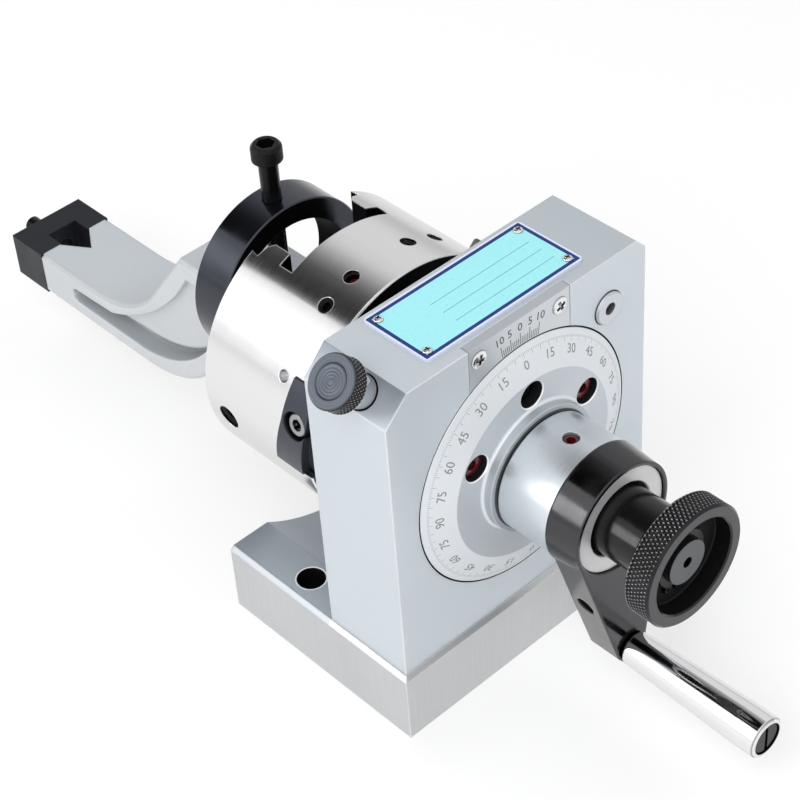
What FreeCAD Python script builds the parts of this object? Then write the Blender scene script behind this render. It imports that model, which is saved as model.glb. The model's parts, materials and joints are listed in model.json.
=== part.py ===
import FreeCAD, Part
import math
import os
import re
import Sketcher

# A punch former: a small dividing head whose crank turns a slotted drum.
# X runs across the head, Y along the spindle (crank at -Y, drum at +Y), Z is up.
# The origin lies on the underside of the base, below the spindle axis, in the plane
# of the housing's front face.

doc = FreeCAD.newDocument("PunchFormer")
sheet = doc.addObject("Spreadsheet::Sheet", "Sizes")

sizes = {
    # Base and housing
    "housingWidth": 100.0,
    "housingDepth": 32.0,
    "housingTop": 127.4,
    "spindleHeight": 77.0,
    "leftChamfer": 8.1,
    "rightChamfer": 3.9,
    "baseHeight": 25.0,
    "baseOverhang": 1.5,
    "baseRear": 77.2,
    "swingRadius": 63.5,
    "baseHoleRadius": 4.4,
    "baseHoleSpacing": 86.2,
    "baseHoleSetback": 49.0,
    "boltSpacing": 70.0,
    "boltFront": 9.0,
    "boltRear": 23.0,
    "boltRadius": 4.0,
    "boltLength": 30.0,
    "boltHeadRadius": 6.5,
    "boltHeadHeight": 8.0,
    "boltSink": 10.0,
    "oilPortAngle": 46.1,
    "oilPortClear": 2.0,
    "oilPortRadius": 5.2,
    "oilPortStem": 4.0,
    "oilPortDepth": 6.0,
    "oilPortProud": 1.0,
    "bossRadius": 28.0,
    "bossLength": 3.0,
    # Nameplate and vernier
    "plateLength": 60.0,
    "plateWidth": 25.5,
    "plateThickness": 0.8,
    "plateFront": 4.6,
    "plateCorner": 1.5,
    "rivetRadius": 1.5,
    "rivetInset": 3.2,
    "vernierWidth": 38.6,
    "vernierGap": 0.25,
    "vernierThickness": 3.0,
    "vernierScrewSpacing": 31.0,
    "vernierScrewDrop": 4.9,
    "vernierHeadRadius": 2.85,
    "vernierShankRadius": 1.5,
    # Dial, index plate and spindle
    "dialRadius": 40.5,
    "dialGap": 0.5,
    "dialThickness": 7.5,
    "dialRaisedRadius": 30.4,
    "dialRise": 4.0,
    "dialCove": 3.0,
    "dialCollarRadius": 20.5,
    "dialCollarRise": 7.3,
    "dialNeckRadius": 18.0,
    "dialHoleCircle": 25.4,
    "dialHoleRadius": 4.2,
    "dialScrewRadius": 3.0,
    "indexPlateRadius": 38.0,
    "indexPlateThickness": 9.0,
    "indexCount": 24.0,
    "indexNotchDepth": 5.0,
    "indexNotchWidth": 6.8,
    "plateGap": 0.1,
    "recessGap": 2.0,
    "runningGap": 0.05,
    "looseGap": 0.3,
    "spindleRadius": 12.0,
    "journalRadius": 16.0,
    "bushRadius": 21.0,
    "flangeRadius": 26.0,
    "flangeFace": 35.4,
    "spigotRadius": 15.0,
    "shaftEndRadius": 7.0,
    "shaftEndReach": 61.0,
    "shaftShoulder": 33.0,
    "centreHoleRadius": 1.6,
    # Hub, crank and knob
    "hubRadius": 18.6,
    "hubBack": 7.7,
    "hubFront": 26.7,
    "hubScrewSetback": 18.5,
    "hubScrewRadius": 2.5,
    "crankBossRadius": 19.1,
    "crankFrontRadius": 18.2,
    "crankThickness": 11.0,
    "crankLength": 54.0,
    "crankTipHalf": 5.75,
    "crankTipBelow": 5.5,
    "crankAngle": 4.6,
    "crankCupRadius": 17.05,
    "crankCupDepth": 1.9,
    "crankCupBore": 13.0,
    "crankScrewDrop": 30.0,
    "crankScrewRadius": 2.5,
    "washerInner": 12.9,
    "washerThickness": 1.2,
    "handleLength": 50.0,
    "handleRootRadius": 5.4,
    "handleEndRadius": 6.6,
    "handleBore": 3.5,
    "handleHeadRadius": 4.8,
    "handleHeadHeight": 4.5,
    "knobRadius": 19.0,
    "knobFace": 63.7,
    "knobWidth": 8.6,
    "knobRecessRadius": 14.9,
    "knobRecessDepth": 6.0,
    "sleeveRadius": 10.8,
    "clipRadius": 9.2,
    "clipThickness": 1.2,
    "clipGapHalf": 0.9,
    "clipEarRadius": 1.4,
    "clipEarHole": 0.55,
    "clipEarSpread": 2.3,
    "clipEarReach": 9.5,
    "clipAngle": 18.0,
    # Index plunger, set at 45 degrees to the left of the vertical
    "plungerAngle": 45.0,
    "plungerSetback": 13.0,
    "plungerRadius": 4.9,
    "plungerNose": 3.2,
    "plungerTravel": 5.0,
    "plungerShoulder": 52.0,
    "plungerSeat": 46.0,
    "plungerBreak": 0.5,
    "plungerReach": 8.0,
    "plungerKnobRadius": 7.8,
    "plungerKnobWidth": 6.0,
    # Drum with the T slot for the V slide
    "drumRadius": 42.7,
    "drumNear": 44.6,
    "drumFar": 90.3,
    "drumEdge": 0.5,
    "slotFloor": 73.0,
    "slotFootDepth": 5.2,
    "slotLipDepth": 6.3,
    "slotLipHalf": 14.8,
    "slotFootHalf": 19.0,
    "slotMouthHalf": 19.3,
    "slotUndercut": 20.0,
    "drumScrewRing": 56.0,
    "drumScrewRadius": 2.5,
    "drumScrewPoint": 1.6,
    "drumScrewShoulder": 22.0,
    "drumScrewStep": 15.0,
    "drumScrewSink": 4.0,
    "drumScrewShallow": 0.8,
    "drumHoleAngle": 62.0,
    "drumHoleSetback": 57.6,
    "drumHoleRadius": 1.9,
    "drumHoleDepth": 5.0,
    "segmentRise": 21.8,
    "segmentMiddle": 8.0,
    "segmentDrop": 9.0,
    "segmentTopWidth": 8.7,
    "segmentMidWidth": 10.6,
    "segmentFootWidth": 14.8,
    "segmentDepth": 6.5,
    "segmentProud": 0.5,
    "segmentStepRise": 11.0,
    "segmentStepWidth": 3.4,
    "segmentStepDepth": 2.5,
    "segmentScrewAngle": 78.5,
    "segmentScrewSetback": 5.0,
    "segmentScrewSink": 3.2,
    "segmentSinkRadius": 4.6,
    "segmentShankRadius": 2.0,
    "segmentHeadRadius": 3.6,
    "segmentHeadHeight": 2.6,
    "slideScrewSetback": 81.3,
    "slideScrewHeight": 69.9,
    "slideScrewRadius": 4.0,
    "slideScrewPoint": 2.8,
    "slideScrewSink": 4.0,
    "stopPinAngle": 47.0,
    "stopPinSetback": 49.3,
    "stopPinRadius": 2.5,
    "stopPinReach": 46.5,
    # V slide, clamp ring and clamp screw
    "slideFit": 0.08,
    "slideTop": 78.0,
    "slideBottom": 50.0,
    "slideNose": 113.0,
    "slideShoulder": 2.7,
    "veeHalf": 8.0,
    "ringOuter": 28.4,
    "ringInner": 21.5,
    "ringHeight": 87.8,
    "ringNear": 96.7,
    "ringWidth": 13.8,
    "ringEdge": 0.4,
    "clampRadius": 3.0,
    "clampHeadRadius": 5.0,
    "clampHeadHeight": 6.0,
    "clampHeadSeat": 130.0,
    "clampSocket": 5.0,
    "padRadius": 4.0,
    "padHeight": 3.0,
    # Dresser arm
    "armHalf": 14.5,
    "armTop": 84.0,
    "armShankEnd": 87.0,
    "armLegGap": 6.0,
    "armLegTop": 137.0,
    "armLegToe": 169.0,
    "armFootTop": 42.0,
    "armFootBottom": 25.7,
    "armReach": 221.0,
    "armOuterBend": 44.0,
    "armInnerBend": 46.0,
    "armEdge": 1.2,
    "armPocketDepth": 2.5,
    "armPocketTop": 77.2,
    "armPocketSide": 126.0,
    "armPocketLow": 70.0,
    "armPocketCorner": 3.0,
    "armPocketShoulder": 134.5,
    "armPocketToe": 182.0,
    "armPocketToeHeight": 37.8,
    "armPocketBend": 95.0,
    "armPocketHeel": 129.2,
    "armPocketHeelHeight": 50.4,
    "armPocketSideBend": 40.0,
    "armRimStart": 165.0,
    "armRimHeight": 38.8,
    "armRimBend": 59.9,
    "armRimLap": 2.0,
    "armGrooveDepth": 7.0,
    "armGrooveTop": 37.0,
    "armGrooveBottom": 31.5,
    "armGrooveEnd": 202.2,
    "armGrooveTurn": 165.9,
    "armGrooveBend": 52.2,
    "armGrooveTip": 130.0,
    "armGrooveTipTop": 50.8,
    "armGrooveTipBottom": 49.8,
    "armVeeHalf": 6.4,
    "armVeeDepth": 9.8,
    "jawLength": 17.0,
    "jawNotchHalf": 5.8,
    "jawNotchDepth": 7.5,
    "jawScrewSpacing": 20.0,
    "jawScrewRadius": 2.0,
    "jawScrewLength": 24.0,
    "jawHeadRadius": 3.5,
    "jawHeadHeight": 4.0,
    "jawClampRadius": 3.0,
    "jawClampProud": 10.0,
}

for row, (alias, value) in enumerate(sizes.items(), start=1):
    sheet.set("A%d" % row, alias)
    sheet.set("B%d" % row, str(value))
    sheet.setAlias("B%d" % row, alias)
doc.recompute()

headUp = FreeCAD.Rotation(FreeCAD.Vector(1, 0, 0), -90)
headLeft = FreeCAD.Rotation(FreeCAD.Vector(0, 0, 1), -90)
headRear = FreeCAD.Rotation(FreeCAD.Vector(0, 0, 1), 180)
straight = FreeCAD.Rotation()
nodes = {}

# Stations on the spindle that several pieces share, as distances behind the front face
plateFront = "(dialThickness + plateGap)"
plateBack = "(dialThickness + plateGap + indexPlateThickness)"
recessDepth = "(dialThickness + plateGap + indexPlateThickness + recessGap)"

# How far the housing's left chamfer lies from the spindle axis, where the plunger comes out
plungerFace = "((housingWidth / 2 + housingTop - spindleHeight - leftChamfer) / 1.41421356)"

# The arm's leg hangs clear of the slide's nose and of the clamp ring, whichever reaches further
legFront = "(max(slideNose; ringNear + ringWidth) + armLegGap)"

# The middle of the oil port, clear of the dial's recess
portReach = "(dialRadius + dialGap + oilPortRadius + oilPortClear)"
portX = portReach + " * sin(oilPortAngle * 1)"
portZ = "spindleHeight + %s * cos(oilPortAngle * 1)" % portReach


def cell(text):
    """The expression with each size's alias given its sheet."""
    return re.sub(r"[A-Za-z]\w*", lambda word: ("Sizes." if word[0] in sizes else "") + word[0], text)


def number(text):
    """The expression's value with the sizes as they are now."""
    return float(sheet.evalExpression(cell(text)))


def keep(label, item):
    """Name a finished sub-part; its label is its file name too."""
    item.Label = label
    nodes[label] = item
    return item


def place(item, x="0", y="0", z="0", turn=straight):
    item.Placement = FreeCAD.Placement(FreeCAD.Vector(), turn)
    for axis, text in zip("xyz", (x, y, z)):
        item.setExpression(".Placement.Base." + axis, cell(text))
    return item


def newBody(name):
    return doc.addObject("PartDesign::Body", name)


def sketchOn(body, plane, start="0"):
    """An empty sketch on one of the body's origin planes, moved to start along its axis."""
    sketch = body.newObject("Sketcher::SketchObject", body.Name + "Sketch")
    support = [item for item in body.Origin.OriginFeatures if item.Role == plane + "_Plane"][0]
    sketch.AttachmentSupport = [(support, "")]
    sketch.MapMode = "FlatFace"
    towards = "-1 * " if plane == "XZ" else ""
    sketch.setExpression(".AttachmentOffset.Base.z", cell(towards + "(" + start + ")"))
    return sketch


def fixPoint(sketch, edge, end, across, up):
    """Hold a point of the sketch at two expressions from its origin."""
    for kind, text in (("DistanceX", across), ("DistanceY", up)):
        index = sketch.addConstraint(Sketcher.Constraint(kind, -1, 1, edge, end, number(text)))
        sketch.setExpression("Constraints[%d]" % index, cell(text))


def fixRadius(sketch, edge, radius):
    index = sketch.addConstraint(Sketcher.Constraint("Radius", edge, number(radius)))
    sketch.setExpression("Constraints[%d]" % index, cell(radius))


def arcBetween(start, end, radius):
    """The shorter arc between two points; a positive radius runs anticlockwise."""
    chord = end - start
    middle = (start + end) * 0.5
    reach = math.sqrt(radius ** 2 - chord.Length ** 2 / 4)
    left = FreeCAD.Vector(-chord.y, chord.x, 0).normalize()
    centre = middle + left * math.copysign(reach, radius)
    low, high = [math.atan2(spot.y - centre.y, spot.x - centre.x)
                 for spot in ((start, end) if radius > 0 else (end, start))]
    if high < low:
        high += 2 * math.pi
    return Part.ArcOfCircle(Part.Circle(centre, FreeCAD.Vector(0, 0, 1), abs(radius)), low, high)


def outline(sketch, points):
    """A closed outline whose corners are bound to the sheet.

    A third value makes the edge to the next point an arc of that radius, which is
    positive where the arc runs anticlockwise.
    """
    first = len(sketch.Geometry)
    spots = [FreeCAD.Vector(number(point[0]), number(point[1]), 0) for point in points]
    ends = []
    for index, (point, spot) in enumerate(zip(points, spots)):
        following = spots[(index + 1) % len(spots)]
        radius = number(point[2]) if len(point) == 3 else 0
        edge = arcBetween(spot, following, radius) if radius else Part.LineSegment(spot, following)
        sketch.addGeometry(edge, False)
        ends.append((2, 1) if radius < 0 else (1, 2))
    for index, (start, end) in enumerate(ends):
        following = (index + 1) % len(ends)
        joint = (first + index, end, first + following, ends[following][0])
        sketch.addConstraint(Sketcher.Constraint("Coincident", *joint))
    for index, point in enumerate(points):
        fixPoint(sketch, first + index, ends[index][0], point[0], point[1])
        if len(point) == 3:
            fixRadius(sketch, first + index, "abs(%s)" % point[2])


def disc(sketch, across, up, radius):
    """A circle whose centre and radius are bound to the sheet."""
    centre = FreeCAD.Vector(number(across), number(up), 0)
    edge = sketch.addGeometry(Part.Circle(centre, FreeCAD.Vector(0, 0, 1), number(radius)), False)
    fixPoint(sketch, edge, 3, across, up)
    fixRadius(sketch, edge, radius)


def pad(body, sketch, length):
    """Add the sketch's outline, from its plane towards the positive axis."""
    feature = body.newObject("PartDesign::Pad", body.Name + "Pad")
    feature.Profile = sketch
    feature.Reversed = "XZ" in sketch.AttachmentSupport[0][0].Role
    feature.setExpression("Length", cell(length))
    doc.recompute()
    return feature


def pocket(body, sketch, length):
    """Cut the sketch's outline, from its plane towards the positive axis."""
    before = body.Shape.Volume
    feature = body.newObject("PartDesign::Pocket", body.Name + "Pocket")
    feature.Profile = sketch
    feature.Reversed = "XZ" not in sketch.AttachmentSupport[0][0].Role
    feature.setExpression("Length", cell(length))
    doc.recompute()
    if body.Shape.Volume > before - 0.01:
        raise RuntimeError(body.Name + ": a pocket cuts nothing")
    return feature


def block(name, plane, start, length, points):
    """A body made by extruding one outline."""
    body = newBody(name)
    sketch = sketchOn(body, plane, start)
    outline(sketch, points)
    pad(body, sketch, length)
    return body


def cutOutline(body, plane, start, length, points):
    sketch = sketchOn(body, plane, start)
    outline(sketch, points)
    pocket(body, sketch, length)


def cutDiscs(body, plane, start, length, discs):
    sketch = sketchOn(body, plane, start)
    for across, up, radius in discs:
        disc(sketch, across, up, radius)
    pocket(body, sketch, length)


def lathe(name, profile):
    """A body turned about its own Y axis from (along, radius) corners."""
    body = newBody(name)
    sketch = sketchOn(body, "YZ")
    outline(sketch, profile)
    feature = body.newObject("PartDesign::Revolution", name + "Turn")
    feature.Profile = sketch
    feature.ReferenceAxis = (sketch, ["H_Axis"])
    feature.Angle = 360.0
    doc.recompute()
    return body


def bar(name, back, front, radius):
    """A plain turned bar between two stations on its axis."""
    return lathe(name, [(back, "0"), (front, "0"), (front, radius), (back, radius)])


def tube(name, back, front, inner, outer):
    return lathe(name, [(back, inner), (front, inner), (front, outer), (back, outer)])


def onSpindle(body, y="0"):
    return place(body, "0", y, "spindleHeight")


def radial(body, angle, y):
    """Stand a turned body on the spindle axis so that its -Y end points outwards.

    The angle, in degrees from straight up, turns towards +X.
    """
    turn = FreeCAD.Rotation(FreeCAD.Vector(0, 1, 0), number(angle)).multiply(headUp)
    return place(body, "0", y, "spindleHeight", turn)


def bevel(body, size, chosen, kind="PartDesign::Chamfer"):
    """Chamfer or fillet the edges that a test picks by their middle and direction."""
    tip = body.Tip
    names = []
    for index, edge in enumerate(tip.Shape.Edges, start=1):
        middle = edge.valueAt((edge.FirstParameter + edge.LastParameter) / 2)
        if chosen(edge, middle):
            names.append("Edge%d" % index)
    feature = body.newObject(kind, body.Name + kind[12:])
    feature.Base = (tip, names)
    feature.setExpression("Radius" if kind.endswith("Fillet") else "Size", cell(size))
    body.Tip = feature
    doc.recompute()
    return feature


def isLine(edge, axis):
    """Whether an edge is straight and runs along one axis."""
    if edge.Curve.TypeId != "Part::GeomLine":
        return False
    return abs(getattr(edge.Curve.Direction, axis)) > 0.999


def near(value, text):
    return abs(value - number(text)) < 0.01


def cutBy(name, base, *tools):
    """The base with one or more tools taken from it."""
    cutter = tools[0]
    if len(tools) > 1:
        cutter = doc.addObject("Part::MultiFuse", name + "Tools")
        cutter.Shapes = list(tools)
    result = doc.addObject("Part::Cut", name)
    result.Base = base
    result.Tool = cutter
    return result


def joined(name, *items):
    result = doc.addObject("Part::MultiFuse", name)
    result.Shapes = list(items)
    return result


def hexPocket(body, top, across, depth):
    """A hexagon socket sunk from the plane y = top towards +Y."""
    corners = []
    for turn in range(6):
        angle = math.radians(60 * turn)
        reach = "(%s) / 1.7320508" % across
        corners.append(("%s * %.7f" % (reach, math.cos(angle)), "%s * %.7f" % (reach, math.sin(angle))))
    cutOutline(body, "XZ", top, depth, corners)


def socketScrew(name, shank, length, head, height):
    """A cap screw: the head's seat at y = 0, its socket facing -Y, its tip at +Y."""
    lip = "(%s) * 0.1" % head
    body = lathe(name, [
        ("-1 * (%s)" % height, "0"), (length, "0"), (length, shank), ("0", shank), ("0", head),
        ("-1 * (%s) + %s" % (height, lip), head), ("-1 * (%s)" % height, "%s - %s" % (head, lip)),
    ])
    hexPocket(body, "-1 * (%s)" % height, "(%s) * 0.95" % head, "(%s) * 0.55" % height)
    return body


def stepped(name, outer, shoulder, inner, radius, point):
    """A bar between two distances from its own centre, thinner past a shoulder."""
    return lathe(name, [
        ("-1 * (%s)" % outer, "0"), ("-1 * (%s)" % inner, "0"), ("-1 * (%s)" % inner, point),
        ("-1 * (%s)" % shoulder, point), ("-1 * (%s)" % shoulder, radius), ("-1 * (%s)" % outer, radius),
    ])


def setScrew(body, outer, radius):
    """Give a bar the hexagon socket of a set screw in its outer end."""
    hexPocket(body, "-1 * (%s)" % outer, "(%s) * 1.05" % radius, "(%s)" % radius)
    return body


def makeBase():
    half = "(housingWidth / 2 + baseOverhang)"
    body = block("BaseBody", "XY", "0", "baseHeight", [
        ("-1 * " + half, "-1 * baseOverhang"), (half, "-1 * baseOverhang"),
        (half, "baseRear"), ("-1 * " + half, "baseRear"),
    ])
    bevel(body, "baseOverhang * 0.9", lambda edge, middle: near(middle.z, "baseHeight")
          and (near(middle.y, "-1 * baseOverhang") or near(abs(middle.x), half)))
    cutDiscs(body, "XZ", "housingDepth", "baseRear", [("0", "spindleHeight", "swingRadius")])
    cutDiscs(body, "XY", "0", "baseHeight", [
        ("baseHoleSpacing / 2", "baseHoleSetback", "baseHoleRadius"),
        ("baseHoleSpacing / -2", "baseHoleSetback", "baseHoleRadius"),
    ])
    spots = [(side, row) for side in ("boltSpacing / 2", "boltSpacing / -2") for row in ("boltFront", "boltRear")]
    cutDiscs(body, "XY", "0", "baseHeight", [(x, y, "boltRadius + looseGap") for x, y in spots])
    cutDiscs(body, "XY", "0", "boltSink", [(x, y, "boltHeadRadius + looseGap") for x, y in spots])
    keep("base", body)
    for index, (x, y) in enumerate(spots, start=1):
        screw = socketScrew("BoltBody%d" % index, "boltRadius", "boltLength", "boltHeadRadius", "boltHeadHeight")
        turn = FreeCAD.Rotation(FreeCAD.Vector(1, 0, 0), 90)
        keep("housing_screw_%d" % index, place(screw, x, y, "boltSink", turn))
    return spots


def makeHousing(spots):
    half = "housingWidth / 2"
    body = block("HousingBody", "XZ", "0", "housingDepth", [
        ("-1 * " + half, "baseHeight"), (half, "baseHeight"), (half, "housingTop - rightChamfer"),
        (half + " - rightChamfer", "housingTop"), ("-1 * " + half + " + leftChamfer", "housingTop"),
        ("-1 * " + half, "housingTop - leftChamfer"),
    ])
    slotHalf = "(vernierWidth / 2 + vernierGap)"
    cutOutline(body, "XZ", "0", "vernierThickness", [
        ("-1 * " + slotHalf, "spindleHeight"), (slotHalf, "spindleHeight"),
        (slotHalf, "housingTop"), ("-1 * " + slotHalf, "housingTop"),
    ])
    cutDiscs(body, "XZ", "0", recessDepth, [("0", "spindleHeight", "dialRadius + dialGap")])
    cutDiscs(body, "XZ", "0", "housingDepth", [("0", "spindleHeight", "bushRadius")])
    cutDiscs(body, "XZ", "0", "oilPortDepth", [(portX, portZ, "oilPortStem")])
    cutDiscs(body, "XY", "baseHeight", "boltLength + boltSink - baseHeight + looseGap",
             [(x, y, "boltRadius") for x, y in spots])
    screwRow = "housingTop - vernierScrewDrop"
    cutDiscs(body, "XZ", "0", "vernierThickness + 8", [
        ("vernierScrewSpacing / 2", screwRow, "vernierShankRadius"),
        ("vernierScrewSpacing / -2", screwRow, "vernierShankRadius"),
    ])
    rearBoss = tube("RearBoss", "housingDepth", "housingDepth + bossLength", "bushRadius", "bossRadius")
    onSpindle(rearBoss)
    slack = "plungerRadius + runningGap"
    bore = lathe("PlungerBore", [
        ("-1 * housingWidth", "0"), ("-1 * dialRadius", "0"), ("-1 * dialRadius", "plungerNose + runningGap"),
        ("-1 * plungerSeat", "plungerNose + runningGap"), ("-1 * plungerSeat", slack),
        ("plungerBreak - " + plungerFace, slack), ("-1 * " + plungerFace, slack + " + plungerBreak"),
        ("-1 * housingWidth", slack + " + plungerBreak"),
    ])
    radial(bore, "-1 * plungerAngle", "plungerSetback")
    whole = joined("HousingWhole", body, rearBoss)
    keep("housing", cutBy("Housing", whole, bore))


def makeFrontPlates():
    half = "vernierWidth / 2"
    body = block("VernierBody", "XZ", "0", "vernierThickness", [
        ("-1 * " + half, "spindleHeight"), (half, "spindleHeight"),
        (half, "housingTop"), ("-1 * " + half, "housingTop"),
    ])
    cutDiscs(body, "XZ", "0", "vernierThickness", [("0", "spindleHeight", "dialRadius + dialGap")])
    screwRow = "housingTop - vernierScrewDrop"
    cutDiscs(body, "XZ", "0", "vernierThickness", [
        ("vernierScrewSpacing / 2", screwRow, "vernierShankRadius + runningGap"),
        ("vernierScrewSpacing / -2", screwRow, "vernierShankRadius + runningGap"),
    ])
    sinks = []
    for side, name in (("vernierScrewSpacing / -2", "left"), ("vernierScrewSpacing / 2", "right")):
        slope = "(vernierHeadRadius - vernierShankRadius)"
        head = [("-0.6", "0"), ("vernierThickness + 7.5", "0"), ("vernierThickness + 7.5", "vernierShankRadius"),
                (slope, "vernierShankRadius"), ("0", "vernierHeadRadius"), ("-0.6", "vernierHeadRadius * 0.6")]
        screw = lathe("VernierScrew" + name, head)
        keep("vernier_screw_" + name, place(screw, side, "0", screwRow))
        sink = lathe("VernierSink" + name, [
            ("0", "0"), (slope, "0"), (slope, "vernierShankRadius"), ("0", "vernierHeadRadius"),
        ])
        sinks.append(place(sink, side, "0", screwRow))
    keep("vernier_plate", cutBy("VernierPlate", body, *sinks))

    plate = block("NameplateBody", "XY", "housingTop", "plateThickness", [
        ("plateLength / -2", "plateFront"), ("plateLength / 2", "plateFront"),
        ("plateLength / 2", "plateFront + plateWidth"), ("plateLength / -2", "plateFront + plateWidth"),
    ])
    bevel(plate, "plateCorner", lambda edge, middle: isLine(edge, "z"), "PartDesign::Fillet")
    keep("nameplate", plate)
    for index in range(4):
        side = "(plateLength / 2 - rivetInset)" if index % 2 else "(rivetInset - plateLength / 2)"
        row = "(plateFront + rivetInset)" if index < 2 else "(plateFront + plateWidth - rivetInset)"
        rivet = lathe("Rivet%d" % (index + 1), [
            ("-0.7", "0"), ("0", "0"), ("0", "rivetRadius"), ("-0.3", "rivetRadius"), ("-0.7", "rivetRadius * 0.6"),
        ])
        keep("nameplate_pin_%d" % (index + 1), place(rivet, side, row, "housingTop + plateThickness", headUp))

    port = lathe("OilPortBody", [
        ("-1 * oilPortProud", "oilPortStem * 0.5"), ("oilPortDepth - 1", "oilPortStem * 0.5"),
        ("oilPortDepth - 1", "0"), ("oilPortDepth", "0"), ("oilPortDepth", "oilPortStem"), ("0", "oilPortStem"),
        ("0", "oilPortRadius"), ("-0.5 * oilPortProud", "oilPortRadius"), ("-1 * oilPortProud", "oilPortRadius - 0.5"),
    ])
    keep("oil_port", place(port, portX, "0", portZ))
    ball = lathe("OilBallBody", [
        ("0.2", "0"), ("oilPortDepth - 1", "0"), ("oilPortDepth - 1", "oilPortStem * 0.5"),
        ("1", "oilPortStem * 0.5"), ("0.4", "oilPortStem * 0.3"),
    ])
    keep("oil_port_ball", place(ball, portX, "0", portZ))


def makeSpindle():
    body = lathe("SpindleBody", [
        ("-1 * shaftEndReach", "0"), ("slotFloor - looseGap", "0"), ("slotFloor - looseGap", "spigotRadius"),
        ("drumNear", "spigotRadius"), ("drumNear", "flangeRadius"),
        ("flangeFace", "flangeRadius"), ("flangeFace", "journalRadius"),
        (plateBack, "journalRadius"), (plateBack, "spindleRadius"), ("-1 * shaftShoulder", "spindleRadius"),
        ("-1 * shaftShoulder", "shaftEndRadius"), ("-1 * shaftEndReach", "shaftEndRadius"),
    ])
    cutDiscs(body, "XZ", "-1 * shaftEndReach", "4", [("0", "0", "centreHoleRadius")])
    keep("spindle", onSpindle(body))
    bush = tube("BushBody", recessDepth, "housingDepth + bossLength", "journalRadius + runningGap", "bushRadius")
    keep("spindle_bush", onSpindle(bush))

    dial = lathe("DialBody", [
        ("dialThickness", "spindleRadius"), ("dialThickness", "dialRadius"), ("0", "dialRadius"),
        ("-1 * dialRise", "dialRaisedRadius"),
        ("-1 * dialRise", "dialCollarRadius + dialCove", "-1 * dialCove"),
        ("-1 * dialRise - dialCove", "dialCollarRadius"),
        ("-1 * dialCollarRise", "dialCollarRadius"), ("-1 * dialCollarRise", "dialNeckRadius"),
        ("-1 * hubBack", "dialNeckRadius"), ("-1 * hubBack", "spindleRadius"),
    ])
    turns = [("lock", 0), ("right", 60), ("left", -60)]
    spots = [("dialHoleCircle * %.6f" % math.sin(math.radians(turn)),
              "dialHoleCircle * %.6f" % math.cos(math.radians(turn))) for name, turn in turns]
    cutDiscs(dial, "XZ", "-1 * dialRise", "dialRise + 2", [(x, z, "dialHoleRadius") for x, z in spots])
    cutDiscs(dial, "XZ", "-1 * dialRise", "dialRise + dialThickness", [(x, z, "dialScrewRadius") for x, z in spots])
    keep("dial", onSpindle(dial))
    for (name, turn), (x, z) in zip(turns, spots):
        screw = bar("DialScrew" + name, "0", "dialThickness", "dialScrewRadius")
        hexPocket(screw, "0", "dialScrewRadius", "2")
        keep("dial_screw_" + name, place(screw, x, "0", "spindleHeight + " + z))

    plate = tube("IndexPlateBody", plateFront, plateBack, "spindleRadius", "indexPlateRadius")
    count = int(sizes["indexCount"])
    reach = "(indexPlateRadius - indexNotchDepth)"
    sketch = sketchOn(plate, "XZ", plateFront)
    half = "indexNotchWidth / 2"
    outline(sketch, [("-1 * " + half, reach), (half, reach), (half, "indexPlateRadius + 1"),
                     ("-1 * " + half, "indexPlateRadius + 1")])
    notch = pocket(plate, sketch, "indexPlateThickness")
    wheel = plate.newObject("PartDesign::PolarPattern", "IndexNotches")
    wheel.Originals = [notch]
    wheel.Axis = (sketch, ["N_Axis"])
    wheel.Angle = 360.0
    wheel.Occurrences = count
    wheel.setExpression("Occurrences", cell("indexCount"))
    plate.Tip = wheel
    keep("index_plate", onSpindle(plate))


def makeHub():
    hub = lathe("HubBody", [
        ("-1 * hubBack", "spindleRadius"), ("-1 * hubBack", "hubRadius - 0.6"), ("-1 * hubBack - 0.6", "hubRadius"),
        ("-1 * hubFront", "hubRadius"), ("-1 * hubFront", "spindleRadius"),
    ])
    bore = radial(bar("HubScrewBore", "-1 * hubRadius - 1", "-1 * spindleRadius", "hubScrewRadius"),
                  "0", "-1 * hubScrewSetback")
    keep("hub", cutBy("Hub", onSpindle(hub), bore))
    screw = bar("HubScrewBody", "1 - hubRadius", "-1 * spindleRadius", "hubScrewRadius")
    setScrew(screw, "hubRadius - 1", "hubScrewRadius")
    keep("hub_set_screw", radial(screw, "0", "-1 * hubScrewSetback"))


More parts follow.
